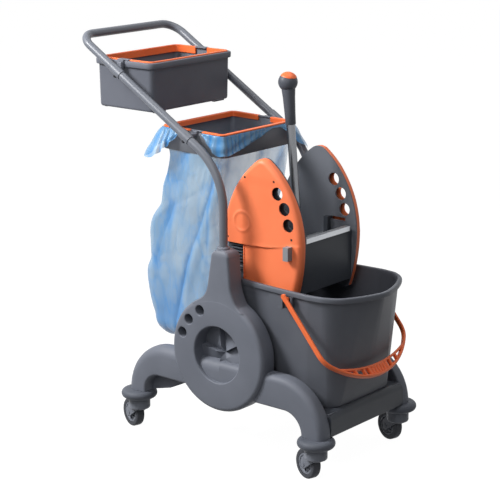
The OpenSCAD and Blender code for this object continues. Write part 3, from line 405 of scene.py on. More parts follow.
def plate(name, loop, y0, y1, soft):
    """A plate in the X-Z plane from y0 to y1 whose edge is a loop, with its edges softened."""
    curve = bpy.data.curves.new(name, "CURVE")
    curve.dimensions, curve.fill_mode = "2D", "BOTH"
    curve.extrude = abs(y1 - y0) / 2 - soft
    curve.bevel_depth, curve.bevel_resolution, curve.offset = soft, 3, -soft
    area = (loop[:, 0] * np.roll(loop[:, 1], -1) - np.roll(loop[:, 0], -1) * loop[:, 1]).sum()
    line = curve.splines.new("POLY")
    line.points.add(len(loop) - 1)
    flat = np.zeros((len(loop), 4))
    flat[:, :2], flat[:, 3] = loop if area > 0 else loop[::-1], 1
    line.points.foreach_set("co", flat.ravel())
    line.use_cyclic_u = True
    holder = bpy.data.objects.new(name, curve)
    mesh = bpy.data.meshes.new_from_object(holder)
    bpy.data.objects.remove(holder)
    bpy.data.curves.remove(curve)
    co = np.empty(len(mesh.vertices) * 3)
    mesh.vertices.foreach_get("co", co)
    co = co.reshape(-1, 3)
    points = np.stack([co[:, 0], (y0 + y1) / 2 + co[:, 2], co[:, 1]], -1)
    faces = [tuple(p.vertices) for p in mesh.polygons]
    bpy.data.meshes.remove(mesh)
    tri = np.array([f if len(f) == 4 else (*f, f[-1]) for f in faces])
    return points, tri


# %% [markdown]
# ## Push handle
# One steel tube, bent twice on each side. The path runs up the right tower, back along the slope, across,
# and down the left side; a circle is carried along it. The slope is the tangent from the lower bend to
# the crossbar.

# %% Handle
POST_X, LEG_Y, BEND_Z, BEND_R, CORNER_R, TUBE_R = 59, 173, 620, 166, 45, 10.5
BAR = np.array([-409.5, 1000.0])
bend_c = np.array([POST_X - BEND_R, BEND_Z])
reach = BAR - bend_c
BEND_A = np.arctan2(reach[1], reach[0]) - np.arccos(BEND_R / np.hypot(*reach))
slope_at = bend_c + BEND_R * np.array([cos(BEND_A), sin(BEND_A)])
slope_dir = np.array([-sin(BEND_A), cos(BEND_A)])
slope_len = np.hypot(*(BAR - slope_at)) - CORNER_R


def on_slope(s, y):
    """A point s along the slope's tube, at y across the cart."""
    s, y = np.broadcast_arrays(s, y)
    return np.stack([slope_at[0] + s * slope_dir[0], y, slope_at[1] + s * slope_dir[1]], -1)


def slope_x(z):
    """Where the slope's tube passes a height."""
    return slope_at[0] + (z - slope_at[1]) / slope_dir[1] * slope_dir[0]


up = np.linspace(440, BEND_Z, 12)[:-1]
bend = arc(*bend_c, BEND_R, 0, np.degrees(BEND_A), 28)
corner = np.radians(np.linspace(0, 90, 15))
half_path = np.concatenate(
    [
        np.stack([np.full_like(up, POST_X), np.full_like(up, LEG_Y), up], -1),
        np.stack([bend[:, 0], np.full(len(bend), LEG_Y), bend[:, 1]], -1),
        on_slope(np.linspace(0, slope_len, 20)[1:-1], LEG_Y),
        on_slope(slope_len + CORNER_R * np.sin(corner), LEG_Y - CORNER_R * (1 - np.cos(corner))),
        on_slope(slope_len + CORNER_R, np.linspace(LEG_Y - CORNER_R, 0, 8)[1:]),
    ]
)
handle_path = np.concatenate([half_path * [1, -1, 1], half_path[-2::-1]])
circle = TUBE_R * arc(0, 0, 1, 0, 360, 32)[:-1]
slope_normal = (cos(BEND_A), 0, sin(BEND_A))
handle = capped(swept(handle_path, circle, slope_normal))
piece("handle_tube_coated", [handle], coated_tube, "cart", "grey_coat", ["handle_tube"])
handle_len = np.linalg.norm(np.diff(handle_path, axis=0), axis=1).sum()
print("handle path", round(handle_len * MM, 2), "m")

# %% [markdown]
# ## Side frames
# Each side is one large hollow moulding. A leg is a section carried from the round panel out to its foot:
# two edge curves give its top and its arch, and a rounded rectangle spans them. The outer top edge has a
# generous round-over, which catches the light as a broad band. The tower is a stack of rounded rectangles
# that narrow upwards.

# %% Legs and towers
FOOT_Z, LEG_TOP, ARCH, FRAME_IN, FRAME_OUT, LEG_OUT = 109.3, 242, 162, 149, 197, 187
DISC_X, DISC_Z, DISC_R = 55, 262, 144


def leg(top, low, soft_top, soft_low):
    """A section between a top and a low edge (rows of x, z), from the leg's inner to its outer face."""
    span = top - low
    height = np.linalg.norm(span, axis=1)
    thick = LEG_OUT - FRAME_IN
    rings = np.empty((len(top), 28, 3))
    for k, h in enumerate(height):
        loop = rounded(thick, h, [soft_top, 4, 3, soft_low])
        point = (top[k] + low[k]) / 2 + loop[:, 1:] * span[k] / h
        rings[k] = np.stack([point[:, 0], -(FRAME_IN + thick / 2 + loop[:, 0]), point[:, 1]], -1)
    return capped(rings)


front_top = np.concatenate([[[DISC_X, LEG_TOP], [150, LEG_TOP]], arc(236, FOOT_Z, 132.7, 90, 0, 28)])
front_low = np.concatenate([[[DISC_X, ARCH], [150, ARCH]], arc(254, FOOT_Z, 52.7, 90, 0, 28)])
rear_top = np.concatenate([[[DISC_X, LEG_TOP], [-60, LEG_TOP]], arc(-123.3, FOOT_Z, 132.7, 90, 180, 28)])
rear_low = np.concatenate([[[DISC_X, ARCH], [-60, ARCH]], arc(-148, 116, 46, 90, 180, 27), [[-194, FOOT_Z]]])

SHOULDER_Z, TOP_R = 510, 15
tower_top = SHOULDER_Z + TOP_R * np.sin(np.linspace(0.12, pi / 2, 8))
tower_z = np.concatenate([np.linspace(380, SHOULDER_Z, 22), tower_top])
knots_z = [380, 391, 400, 409, 420, 434, 525, 530]
tower_left = np.interp(tower_z, knots_z, [-26, -8, 7, 15.5, 21, 25, 40, 41])
tower_right = np.interp(tower_z, knots_z, [136, 118, 111, 107, 102, 98, 90, 89])
over = np.maximum(tower_z - SHOULDER_Z, 0)
draw_in = TOP_R - np.sqrt(np.maximum(TOP_R**2 - over**2, 0))
tower_rings = np.empty((len(tower_z), 28, 3))
for k, z in enumerate(tower_z):
    x0, x1 = tower_left[k] + draw_in[k], tower_right[k] - draw_in[k]
    y_in = min(draw_in[k] * 0.5, 4)
    loop = rounded(x1 - x0, FRAME_OUT - FRAME_IN - 0.8 - 2 * y_in, [4, 4, 7, 7])
    tower_rings[k, :, 0] = (x0 + x1) / 2 + loop[:, 0]
    tower_rings[k, :, 1] = -(FRAME_IN + FRAME_OUT) / 2 + loop[:, 1]
    tower_rings[k, :, 2] = z
socket_profile = [(0, 520), (15, 520), (15.8, 523), (15.8, 528), (14.6, 530), (12.2, 531), (0, 531)]
socket = revolved(socket_profile, (POST_X, -LEG_Y, 0), (0, 0, 1))
web_edge = np.array(
    [[-196, 109], [-183, 113.5], [-134, 126], [-104, 140], [-58, 163], [-120, 170], [-196, 170]]
)
web = np.stack([np.c_[web_edge[:, 0], np.full(7, -y), web_edge[:, 1]] for y in (149.2, 155)])
frame_patches = [
    leg(front_top, front_low, 17, 6), leg(rear_top, rear_low, 27, 6), capped(tower_rings), socket, capped(web)
]

# %% [markdown]
# The round panel is a turned shape: a flat face with a soft outer edge, and a deep round recess. The
# recess is closed by a fan of five blades: each rises like one turn of a spiral stair and drops to the
# next in a step, which stiffens the wall. The three small round holes are cut out of the face.

# %% Round panels
RECESS_R, PORT_R, PORTS_AT, EDGE = 71, 13, 116, 12
panel_profile = np.concatenate(
    [
        [(0, 2.5), (30, 2.5), (64, 2.5)],
        arc(RECESS_R - 3, 5.5, 3, -90, 0, 4),
        [(RECESS_R, 30)],
        arc(RECESS_R + 4, 44, 4, 180, 90, 5),
        arc(DISC_R - EDGE, 48 - EDGE, EDGE, 90, 0, 8),
        [(DISC_R, 20)],
        arc(DISC_R - 4, 4, 4, 0, -90, 4),
        [(70, 0), (0, 0)],
    ]
)
panel = revolved(panel_profile, (DISC_X, -FRAME_IN, DISC_Z), (0, -1, 0), 128)
PORT_EDGE = PORT_R + 1.5
port_profile = [(0, -30), (PORT_R, -30), (PORT_R, -1.5), (PORT_EDGE, 0), (PORT_EDGE, 5), (0, 5)]
ports = []
for a in np.radians([117, 140, 161]):
    at = (DISC_X + PORTS_AT * cos(a), -FRAME_OUT, DISC_Z + PORTS_AT * sin(a))
    ports.append(revolved(port_profile, at, (0, -1, 0), 40))
BLADES, BLADE_RISE, BLADE_START = 5, 15, 100
fan_a = np.radians(np.arange(0, 360, 0.75))
turned = ((BLADE_START - np.degrees(fan_a)) / (360 / BLADES)) % 1
saw = np.where(turned < 0.97, turned / 0.97, (1 - turned) / 0.03)
fan_r = np.array([RECESS_R - 0.2, RECESS_R - 0.2, 66, 56, 46, 36, 26, 18, 11, 6, 2])
fan_up = np.stack([3 + (1 + BLADE_RISE * saw) * min(1, r / 16) + 8 * (1 - r / RECESS_R) for r in fan_r])
fan_up[0] = 2.6
fan_x, fan_z = DISC_X + fan_r[:, None] * np.cos(fan_a), DISC_Z + fan_r[:, None] * np.sin(fan_a)
fan = capped(np.stack([fan_x, -FRAME_IN - fan_up, fan_z], -1))
moulding = (grey_frame, "cart", "grey_plastic")
for name, side in SIDES.items():
    piece("side_frame_legs_" + name, on_side(side, frame_patches), *moulding, ["side_frame_" + name])
    panel_mesh = carved("panel_" + name, on_side(side, [panel]), on_side(side, ports))
    piece("side_frame_panel_" + name, panel_mesh, *moulding)
    piece("side_frame_fan_" + name, on_side(side, [fan]), *moulding, crease=25)
print("pieces so far:", len(made))

# %% [markdown]
# ## Base
# The bucket stands on a platform whose front edge is turned down to a board. Its upper edge is broad and
# soft, and rises a little towards the middle.

# %% Front board
board_y = np.linspace(-148.8, 148.8, 25)
rise = 5 * (1 - (board_y / 149) ** 2)
edge = np.concatenate(
    [
        [(361, 112), (362, 110), (367, 110), (369, 112)],
        arc(353, 150, 16, 0, 90, 8),
        [(335, 166), (335, 158.2), (353, 158), (361, 152)],
    ]
)
board = np.empty((len(board_y), len(edge), 3))
board[..., 0] = edge[:, 0]
board[..., 1] = board_y[:, None]
board[..., 2] = edge[:, 1] + rise[:, None] * np.clip((edge[:, 1] - 130) / 36, 0, 1)
piece("front_board", [capped(board)], black_plastic_and_plate_shade, "cart", "grey_plastic", ["front_beam"])

# %% [markdown]
# ## Casters
# Each caster has a fat bumper ring under the foot, a round nylon hood that turns on the stem, two arms
# that slope back to the axle, and a wheel with a soft tyre. The casters stand turned by the same angle,
# as they were left after a push.

# %% Casters
YAW = radians(-16)
ahead, axle_dir = np.array([cos(YAW), sin(YAW), 0]), np.array([-sin(YAW), cos(YAW), 0])
SWIVEL_X, SWIVEL_Y, TRAIL, AXLE_Z = {"front": 341, "rear": -228}, 170, 30, 37.5
UP = (0, 0, 1)
ARM_IN, ARM_OUT = 12.6, 17.2
ring_profile = np.concatenate(
    [[(12, 87.2), (32, 87.2)], arc(35, 98, 11, -90, 90, 14), [(32, 109), (12, 109)]]
)
hood_profile = np.concatenate(
    [
        [(0, 86.5), (22, 86.5)],
        arc(24.5, 83.5, 3, 90, 0, 4),
        [(27.5, 70)],
        arc(22.5, 62, 5, 0, -50, 4),
        [(20, 55), (0, 55)],
    ]
)
tread = arc(32, 6.3, 5.2, 80, 0, 6) + [0.3, 0]
half_tyre = np.concatenate([[(26, 10.5)], tread])
tyre_profile = np.concatenate([half_tyre, half_tyre[::-1] * [1, -1]])
half_core = np.array(
    [
        (4.1, 11.4), (8.5, 11.4), (9.2, 10.6), (9.6, 8), (12, 6.6), (19, 6.6), (21, 8), (21.6, 9.9),
        (24.5, 10.2), (26, 9.6),
    ]
)
core_profile = np.concatenate([half_core, half_core[::-1] * [1, -1]])


def local(points, at):
    """Points in a caster's own frame (ahead, along its axle, up) brought to the cart."""
    along, across, up = np.split(np.asarray(points, float), 3, axis=-1)
    return np.asarray(at) + along * ahead + across * axle_dir + up * UP


arm_edge = np.concatenate(
    [
        [(-24, 76), (20, 76), (23, 64)],
        arc(-TRAIL + 1, AXLE_Z - 1, 10, -35, -180, 10),
        [(-TRAIL - 9.5, 46), (-26.5, 64)],
    ]
)
room_profile = [(0, -ARM_IN), (39.3, -ARM_IN), (39.3, ARM_IN), (0, ARM_IN)]
for end, swivel_x in SWIVEL_X.items():
    for name, side in SIDES.items():
        spot = end + "_" + name
        foot = np.array([swivel_x, side * SWIVEL_Y, 0.0])
        hub_at = foot - TRAIL * ahead + [0, 0, AXLE_Z]
        bumper = revolved(ring_profile, foot, UP)
        piece("bumper_" + spot, [bumper], bumper_grey, "cart", "bumper_rubber", ["bumper_ring_" + spot])
        room = revolved(room_profile, hub_at, axle_dir)
        hood = carved("hood", [revolved(hood_profile, foot, UP, 48)], [room])
        piece("caster_hood_" + spot, hood, caster_grey, "swivel_" + spot, "grey_plastic", ["fork_" + spot])
        arms = []
        for y0, y1 in ((ARM_IN, ARM_OUT), (-ARM_OUT, -ARM_IN)):
            flat, faces = plate("arm", arm_edge, y0, y1, 1.2)
            arms.append((local(flat, foot), faces))
        piece("caster_arms_" + spot, arms, caster_grey, "swivel_" + spot, "grey_plastic")
        tyre = revolved(tyre_profile, hub_at, axle_dir)
        piece("wheel_tyre_" + spot, [tyre], tyre_grey, "wheel_" + spot, "tyre", ["tyre_" + spot])
        core = [revolved(core_profile, hub_at, axle_dir)]
        for a in np.arange(6) * pi / 3:
            rings = []
            for s in np.linspace(9, 21.5, 6):
                b = a + (s - 9) * 0.045
                centre = np.array([s * cos(b), 0, s * sin(b)])
                across = np.array([-sin(b), 0, cos(b)])
                loop = rounded(3, 18.6, 1, 2)
                rings.append(centre + loop[:, :1] * across + loop[:, 1:] * [0, 1, 0])
            core.append(capped(local(np.stack(rings), hub_at)))
        rim = "wheel_core_" + spot
        piece(rim + "_ribbed", core, caster_grey, "wheel_" + spot, "grey_plastic", [rim])
print("pieces so far:", len(made))

# %% [markdown]
# ## Tray and bag holder
# Both are rounded rectangles in plan. A row of numbers gives one ring of a wall: how far it is set in
# from the rim, lengthways and across, and its height. Stacked rings give the outside, the rolled rim and
# the inside in one surface.

# %% Tray and collar
TRAY_LEN, TRAY_HALF, TRAY_RIM, TRAY_LOW, TRAY_LEAN = 188, 149.5, 946, 823, 3
BAG_LEN, BAG_HALF, BAG_RIM = 201, 138, 794
TRAY_X, BAG_X = slope_x(TRAY_RIM) - 54, slope_x(BAG_RIM) - 98


def holder_rings(x0, length, half, round_r, rows):
    """Rounded rectangles in plan, one for each row of (inset along, inset across, height)."""
    rings = np.empty((len(rows), 36, 3))
    for k, (dx, dy, z) in enumerate(rows):
        loop = rounded(length - 2 * dx, 2 * (half - dy), max(round_r - dx, 2), 8)
        rings[k, :, :2] = loop + [x0 + length / 2, 0]
        rings[k, :, 2] = z
    return rings


def settled(points):
    """The bag holder hangs a little low at its front."""
    sag = 2 + 4 * np.clip((points[..., 0] - BAG_X) / BAG_LEN, 0, 1)
    return points - sag[..., None] * [0, 0, 1]


tray_wall = np.array(
    [
        (7, 823), (3, 824), (0.8, 826.5), (0, 830), (0, 928), (-1, 930.5), (-6, 931.3), (-7, 933), (-7, 943),
        (-6.2, 945), (-4.5, 946), (1.5, 946), (2.6, 945.3), (3, 944), (3, 833), (4.5, 828), (8, 826.5),
    ]
)
tray_lean = TRAY_LEAN * (TRAY_RIM - tray_wall[:, 1]) / (TRAY_RIM - TRAY_LOW)
tray_rows = np.stack([tray_wall[:, 0] + tray_lean / 2, tray_wall[:, 0] + tray_lean, tray_wall[:, 1]], -1)
pads = [
    block((x - 5, y - 20, 820), (x + 5, y + 20, 825), 1.5, axis=1)
    for x in (TRAY_X + 12, TRAY_X + TRAY_LEN - 12)
    for y in (-112, 112)
]
tray = capped(holder_rings(TRAY_X, TRAY_LEN, TRAY_HALF, 15, tray_rows))
piece("tray_moulded", [tray, *pads], tray_grey, "cart", "dark_plastic", ["tray_box"])
collar_rows = [
    (1, 4, 740), (0, 3, 741.5), (0, 0.2, 791.5), (0.8, 0.9, 793.4), (2, 2.5, 794), (3.4, 6.2, 793.4),
    (4, 7, 792), (4, 7, 741), (3, 6, 740),
]
collar = quads(settled(holder_rings(BAG_X, BAG_LEN, BAG_HALF, 16, collar_rows)), wrap_rows=True)
piece("bag_collar_moulded", [collar], dark_plate, "cart", "dark_plastic", ["bag_collar"])

# %% [markdown]
# An orange ring clips over each rim: a flat lip on top and a skirt inside. It comes in two halves that
# end beside the clamps. A half is the ring's section carried along the rim; every corner of the section
# has its own inset.


# %% Clip rings
def half_loop(cut, end, half, r, d):
    """Half of a rim's plan from a cut to its end, set in by d: right side, round the end, left side."""
    ahead_or_back = 1 if end > cut else -1
    a = arc(0, 0, r - d, -90, 0, 10)
    right = np.stack([end + ahead_or_back * (a[:, 0] - r), r - half + a[:, 1]], -1)
    ends = np.array([[cut, d - half], [cut, half - d]])
    return np.concatenate([ends[:1], right, (right * [1, -1])[::-1], ends[1:]])


def clip_ring(x0, length, half, z, clamp_x, d, skirt):
    """Two halves of a clip ring whose skirt's outer face is set in by d; their ends are rounded off."""
    section = [
        (0.4, 0), (0.4, 2.0), (1.4, 3.0), (d + 1.8, 3.0), (d + 3, 1.8), (d + 3, 1 - skirt), (d + 2.2, -skirt),
        (d + 0.8, -skirt), (d, 1 - skirt), (d, 0),
    ]
    halves = []
    for cut, end in ((clamp_x + 20.3, x0 + length), (clamp_x - 20.3, x0)):
        flat = np.stack([half_loop(cut, end, half, 18, inset) for inset, _ in section], 1)
        rise = np.broadcast_to([[h] for _, h in section], (len(flat), len(section), 1)) + z
        rings = np.concatenate([flat, rise], -1)
        ends = rings[[0, -1]]
        middle = ends.mean(1, keepdims=True)
        noses = middle + (ends - middle) * 0.55 + [1.5 * np.sign(cut - end), 0, 0]
        halves.append(np.concatenate([noses[:1], rings, noses[1:]]))
    return halves


TRAY_AHEAD, BAG_AHEAD = 40, 15
tray_ring = clip_ring(TRAY_X, TRAY_LEN, TRAY_HALF, TRAY_RIM, slope_x(TRAY_RIM) + TRAY_AHEAD, 5.2, 16)
bag_ring = clip_ring(BAG_X, BAG_LEN, BAG_HALF, BAG_RIM + 1, slope_x(BAG_RIM) + BAG_AHEAD, 8.6, 10)
clip = (orange_shell, "cart", "orange_plastic")
piece("tray_ring_clip", [capped(h) for h in tray_ring], *clip, ["tray_ring"])
piece("bag_ring_clip", [capped(settled(h)) for h in bag_ring], *clip, ["bag_ring"])

# %% [markdown]
# A clamp sits ahead of the place where the tube passes the rim: a thin sleeve round the tube, an arm from
# there up to the rim, and a tongue that lies on the rim in the ring's gap.


# %% Clamps
def clamp(rim_z, ahead_by, edge, half, lift):
    """The sleeve, and the arm with its tongue, of a clamp on the right tube."""
    x = slope_x(rim_z) + ahead_by
    tube_z = rim_z + ahead_by * slope_dir[1] / slope_dir[0]
    sleeve = [(TUBE_R, -17), (11.7, -17), (12.2, -16.4), (12.2, 16.4), (11.7, 17), (TUBE_R, 17)]
    arm = block((x - 8, 5.5 - LEG_Y, tube_z - 5), (x + 8, -edge, rim_z + lift - 2), 2.5)
    tongue = block((x - 19.2, -edge + 4, rim_z + lift), (x + 19.2, 12 - half, rim_z + lift + 3), 1, axis=1)
    neck = block((x - 8, -edge - 4, rim_z + lift - 6), (x + 8, -edge + 6, rim_z + lift + 2.4), 1, axis=1)
    return revolved(sleeve, (x, -LEG_Y, tube_z), (slope_dir[0], 0, slope_dir[1]), 40), [arm, neck, tongue]


CLAMPS = {
    "tray": (TRAY_RIM, TRAY_AHEAD, 156.6, TRAY_HALF, 0),
    "bag": (BAG_RIM, BAG_AHEAD, 138.2, BAG_HALF, -3),
}
for holder, values in CLAMPS.items():
    sleeve, arm = clamp(*values)
    for name, side in SIDES.items():
        replaced = [f"{holder}_clamp_{name}"]
        piece(f"{holder}_clamp_soft_{name}", on_side(side, arm), tray_grey, "cart", "dark_plastic", replaced)
        piece(f"{holder}_clamp_sleeve_{name}", on_side(side, [sleeve]), coated_tube, "cart", "dark_plastic")
print("pieces so far:", len(made))

# %% [markdown]
# ## Waste bag
# Thin film hangs inside the collar and is folded out over its rim at the corners. The shell is a grid:
# its rows run from the outer hem up over the rim, down the collar and down the bag to a closed bottom,
# and its columns run round. Real film buckles into long creases rather than stretching. Here they are
# drawn, not simulated: ridged noise for the crumple, and a few long folds that fall from the front corner
# to the back.

# %% The bag's shell
BAG_COLS = 480
round_at = np.arange(BAG_COLS) / BAG_COLS


def even_ring(x0, x1, half, r):
    """A rounded rectangle in plan, evenly spaced from the middle of its front, and its outward normals."""
    middle = np.array([[(x1 - x0) / 2, 0.0]])
    loop = np.concatenate([middle, rounded(x1 - x0, 2 * half, r, 12), middle])
    s = np.concatenate([[0], np.cumsum(np.linalg.norm(np.diff(loop, axis=0), axis=1))])
    ring = np.stack([np.interp(round_at * s[-1], s, loop[:, k]) for k in (0, 1)], -1)
    t = np.roll(ring, -1, 0) - np.roll(ring, 1, 0)
    t /= np.linalg.norm(t, axis=1, keepdims=True)
    return ring + [(x0 + x1) / 2, 0], np.stack([t[:, 1], -t[:, 0]], -1)


def smooth(values, reach):
    """Rolling mean over a row of values, with its ends held."""
    padded = np.pad(values, reach, mode="edge")
    return np.convolve(padded, np.ones(2 * reach + 1) / (2 * reach + 1), mode="valid")


def step(a, b, x):
    """Smooth step from 0 at a to 1 at b."""
    t = np.clip((x - a) / (b - a), 0, 1)
    return t * t * (3 - 2 * t)


def crumple(points, size, seed, count=18):
    """Ridged noise: sine waves in random directions about size apart, folded at zero into sharp creases."""
    rng = np.random.default_rng(seed)
    way = rng.normal(size=(count, 3))
    way *= 2 * pi / (size * rng.uniform(0.7, 1.6, (count, 1))) / np.linalg.norm(way, axis=1, keepdims=True)
    total = np.sin(points @ way.T + rng.uniform(0, 2 * pi, count)).sum(-1) / sqrt(count / 2)
    return np.sqrt(total**2 + 0.02) - 0.8


BAG_TOP, BAG_LOW = 739, 290
level_z = [739, 725, 700, 660, 633, 591, 575, 560, 540, 514, 480, 454, 441, 428, 411, 385, 358, 319, 290]
level_back = [
    -160, -154, -158, -174, -183, -198, -214, -231, -243, -248, -249, -250, -250, -258, -267, -268, -266,
    -260, -252,
]
level_front = [24.8, 24.2, 21.6, 15.4, 11.6, 7, 5, 3.6, 2, -0.4, -4, -6, -7, -8, -9.6, -12, -16, -22, -28]
level_half = [
    130.3, 130.3, 130.3, 130.2, 129.8, 127, 125.5, 125.5, 125, 125, 124, 123, 122, 122, 121, 120, 119, 117,
    115,
]
body_z = np.linspace(BAG_TOP, BAG_LOW, 190)
back, front, half = [
    smooth(np.interp(body_z, level_z[::-1], v[::-1]), 4) for v in (level_back, level_front, level_half)
]
corner_r = np.interp(body_z, [BAG_LOW, 560, 640, BAG_TOP], [58, 40, 14, 12])
shell, normals = [], []
for k, z in enumerate(body_z):
    ring, out = even_ring(back[k], front[k], half[k], corner_r[k])
    shell.append(np.c_[ring, np.full(BAG_COLS, z)])
    normals.append(out)
shell, normals = np.stack(shell), np.stack(normals)
x, y, z = shell[..., 0], shell[..., 1], shell[..., 2]

# %% [markdown]
# The long folds are lines from a place near the mouth to one near the foot. Each is a sharp valley beside
# a softer ridge. The film is slack below the collar and taut where it hangs flat in front, so the creases
# fade there.

# %% Folds in the bag
FOLDS = [
    # side, places along X at heights 739, 600, 450 and 290, width, depth
    (RIGHT, (20, -38, -104, -150), 8, 5),
    (RIGHT, (2, -26, -40, -46), 4, 1.5),
    (RIGHT, (-96, -140, -206, -190), 14, 3),
    (LEFT, (16, -52, -120, -170), 10, 4.5),
    (LEFT, (-60, -98, -150, -206), 9, 4),
]
slack = step(742, 660, z) * (1 - 0.75 * step(-30, 15, x) * step(520, 640, z))
deep = np.zeros_like(z)
push = np.zeros_like(z)
for side, places, width, depth in FOLDS:
    line = np.interp(z, [BAG_LOW, 450, 600, BAG_TOP], places[::-1])
    broken = 0.35 + 0.65 * step(-0.5, 0.9, np.sin(z / 47 + depth) + np.sin(z / 23 + width))
    near = step(40, 95, y * side) * np.where(depth > 4, 0.6 + 0.4 * broken, broken)
    off = (x - line) / width
    push -= depth * near * np.exp(-np.abs(off)) - 0.6 * depth * near * np.exp(-(((off - 2.4) / 1.6) ** 2))
    deep += near * np.exp(-((off / 1.3) ** 2))
gathers = np.sin(2 * pi * 46 * round_at + 1.3 * np.sin(2 * pi * 5 * round_at))
gather = gathers * np.exp(-(((z - 700) / 38.0) ** 2))
long_wave = crumple(shell * [1, 1, 0.55], 150, 3)
fine_wave = crumple(shell * [1, 1, 0.6], 62, 5)
push += slack * (1.9 * long_wave + 0.7 * fine_wave + 0.5 * gather)
inward = step(-20, 5, x)
push -= inward * np.maximum(push, 0) * 0.9
shell[..., :2] += push[..., None] * normals
crease = np.clip((-0.3 - long_wave) / 0.36, 0, 1) + 0.6 * np.clip((-0.35 - fine_wave) / 0.31, 0, 1)
patch = step(-120, -240, x) * (0.3 + 0.3 * step(420, 330, z)) + 0.35 * step(-70, -150, x) * step(590, 700, z)
deep = np.clip(0.9 * deep + 0.4 * slack * crease + patch, 0, 1)
clear = step(0, 14, x) * step(560, 620, z)

# %% [markdown]
# The hem's drop and flare go round the rim as two curves: the corners hang out as ruffled ears, and the
# front edge runs back up to the ring. The film lies between the ring and the collar, and it parts at the
# clamps.

# %% The turned-out hem and the bag's bottom
HEM_ROWS = 26
hem_at = [
    0, 0.054, 0.09, 0.12, 0.145, 0.17, 0.20, 0.33, 0.355, 0.38, 0.45, 0.55, 0.60, 0.632, 0.645, 0.66, 0.69,
    0.715, 0.785, 0.80, 0.82, 0.841, 0.868, 0.905, 0.965, 1,
]
hem_drop = [20, 4, 6, 34, 72, 46, 4, 4, 34, 18, 4, 4, 32, 70, 80, 64, 34, 3, 3, 14, 36, 48, 47, 39, 28, 20]
hem_flare = [2, 1, 2, 22, 46, 26, 1, 1, 10, 4, 1, 1, 16, 40, 48, 40, 18, 0.5, 0.5, 3, 6, 9, 8, 6, 4, 2]
drop = smooth(np.interp(round_at, hem_at, hem_drop), 4)
flare = smooth(np.interp(round_at, hem_at, hem_flare), 4)
rim, rim_out = even_ring(BAG_X, BAG_X + BAG_LEN, BAG_HALF, 16)
hangs = np.minimum(drop / 40, 1)
ruffle = np.sin(2 * pi * 52 * round_at + 2 * np.sin(2 * pi * 9 * round_at)) * hangs
hem_rows = []
for t in np.linspace(1, 0, HEM_ROWS):
    puff = 1.2 + flare * t**0.75 + 3.2 * ruffle * sqrt(t) + 2.0 * np.sin(9 * t + 40 * round_at) * t * hangs
    height = BAG_RIM + 0.4 - drop * t + 1.5 * ruffle * t
    hem_rows.append(np.c_[rim + np.maximum(puff, 0.9)[:, None] * rim_out, height])
OVER_RIM = [(-0.6, -0.6, 0.55), (2, 2, 0.6), (4.2, 7.1, 0.45), (4.5, 7.4, -3), (4.5, 7.4, -52)]
for inset_x, inset_y, rise in OVER_RIM:
    ring, _ = even_ring(BAG_X + inset_x, BAG_X + BAG_LEN - inset_x, BAG_HALF - inset_y, 14)
    hem_rows.append(np.c_[ring, np.full(BAG_COLS, BAG_RIM + rise)])
foot = []
for a in np.radians(np.linspace(0, 90, 22))[1:]:
    shrink = cos(a) ** 0.62 if a < pi / 2 else 0.0
    ring = shell[-1, :, :2] * shrink + np.array([-116, 0]) * (1 - shrink)
    wrinkle = crumple(np.c_[ring, np.full(BAG_COLS, BAG_LOW)], 40, 8)
    sag = BAG_LOW - 62 * sin(a) ** 0.9 + 3.0 * shrink * wrinkle
    foot.append(np.c_[ring, np.maximum(sag, 226.5)])
bag_grid = np.concatenate([settled(np.stack(hem_rows)), shell, foot])
bag_points, bag_faces = quads(bag_grid)
rows_before, rows_after = len(hem_rows), len(foot)
fold_rows = np.concatenate([np.full((rows_before, BAG_COLS), 0.3), deep, np.repeat(deep[-1:], rows_after, 0)])
fold_rows[:HEM_ROWS] = 0.45 + 0.55 * np.clip(-1.3 * ruffle, 0, 1)
clear_rows = np.concatenate([np.zeros((rows_before, BAG_COLS)), clear, np.zeros((rows_after, BAG_COLS))])
clear_rows[HEM_ROWS:rows_before] = 2
at_clamp = np.abs(bag_points[:, 0] - slope_x(BAG_RIM) - BAG_AHEAD) < 22
outside = np.abs(bag_points[:, 1]) > BAG_HALF - 2
keep = ~(at_clamp & outside)[bag_faces].any(1)
bag_mesh = bpy.data.meshes.new("waste_bag_film")
bag_mesh.from_pydata(bag_points * MM, [], bag_faces[keep].tolist())
for label, values in (("fold", fold_rows), ("clear", clear_rows)):
    layer = bag_mesh.attributes.new(label, "FLOAT", "POINT")
    layer.data.foreach_set("value", np.asarray(values, np.float32).ravel())
work = bmesh.new()
work.from_mesh(bag_mesh)
bmesh.ops.remove_doubles(work, verts=work.verts, dist=2e-6)
loose = [v for v in work.verts if not v.link_faces]
bmesh.ops.delete(work, geom=loose, context="VERTS")
bmesh.ops.recalc_face_normals(work, faces=work.faces)
bag_area = sum(f.calc_area() for f in work.faces)
work.to_mesh(bag_mesh)
work.free()
bag_mesh.polygons.foreach_set("use_smooth", np.ones(len(bag_mesh.polygons), bool))
bag = piece("waste_bag_film", bag_mesh, blue_film, "cart", "film", ["waste_bag"])

# %% [markdown]
# ## Bucket
# The plan of the rim and the plan of the floor are each wrapped round a few circles: in every direction
# the point is on the circle that reaches furthest. The wall is a straight blend between the two plans.
# The lip is rolled over, and the tip is drawn out and a little down to a spout.

# %% Bucket and its ears
RIM_PLAN = [(91, 85, 50), (241, 95, 60), (308, 70, 82), (280, 0, 134)]
WALL_PLAN = [(91, 85, 50), (241, 95, 60), (306, 69, 81), (280, 0, 129)]
FLOOR_PLAN = [(95, 80, 35), (241, 92, 45), (315, 83, 42), (290, 0, 66)]
PLAN_N = 288
PIVOT = np.array([243.0, 0.0, 430.0])


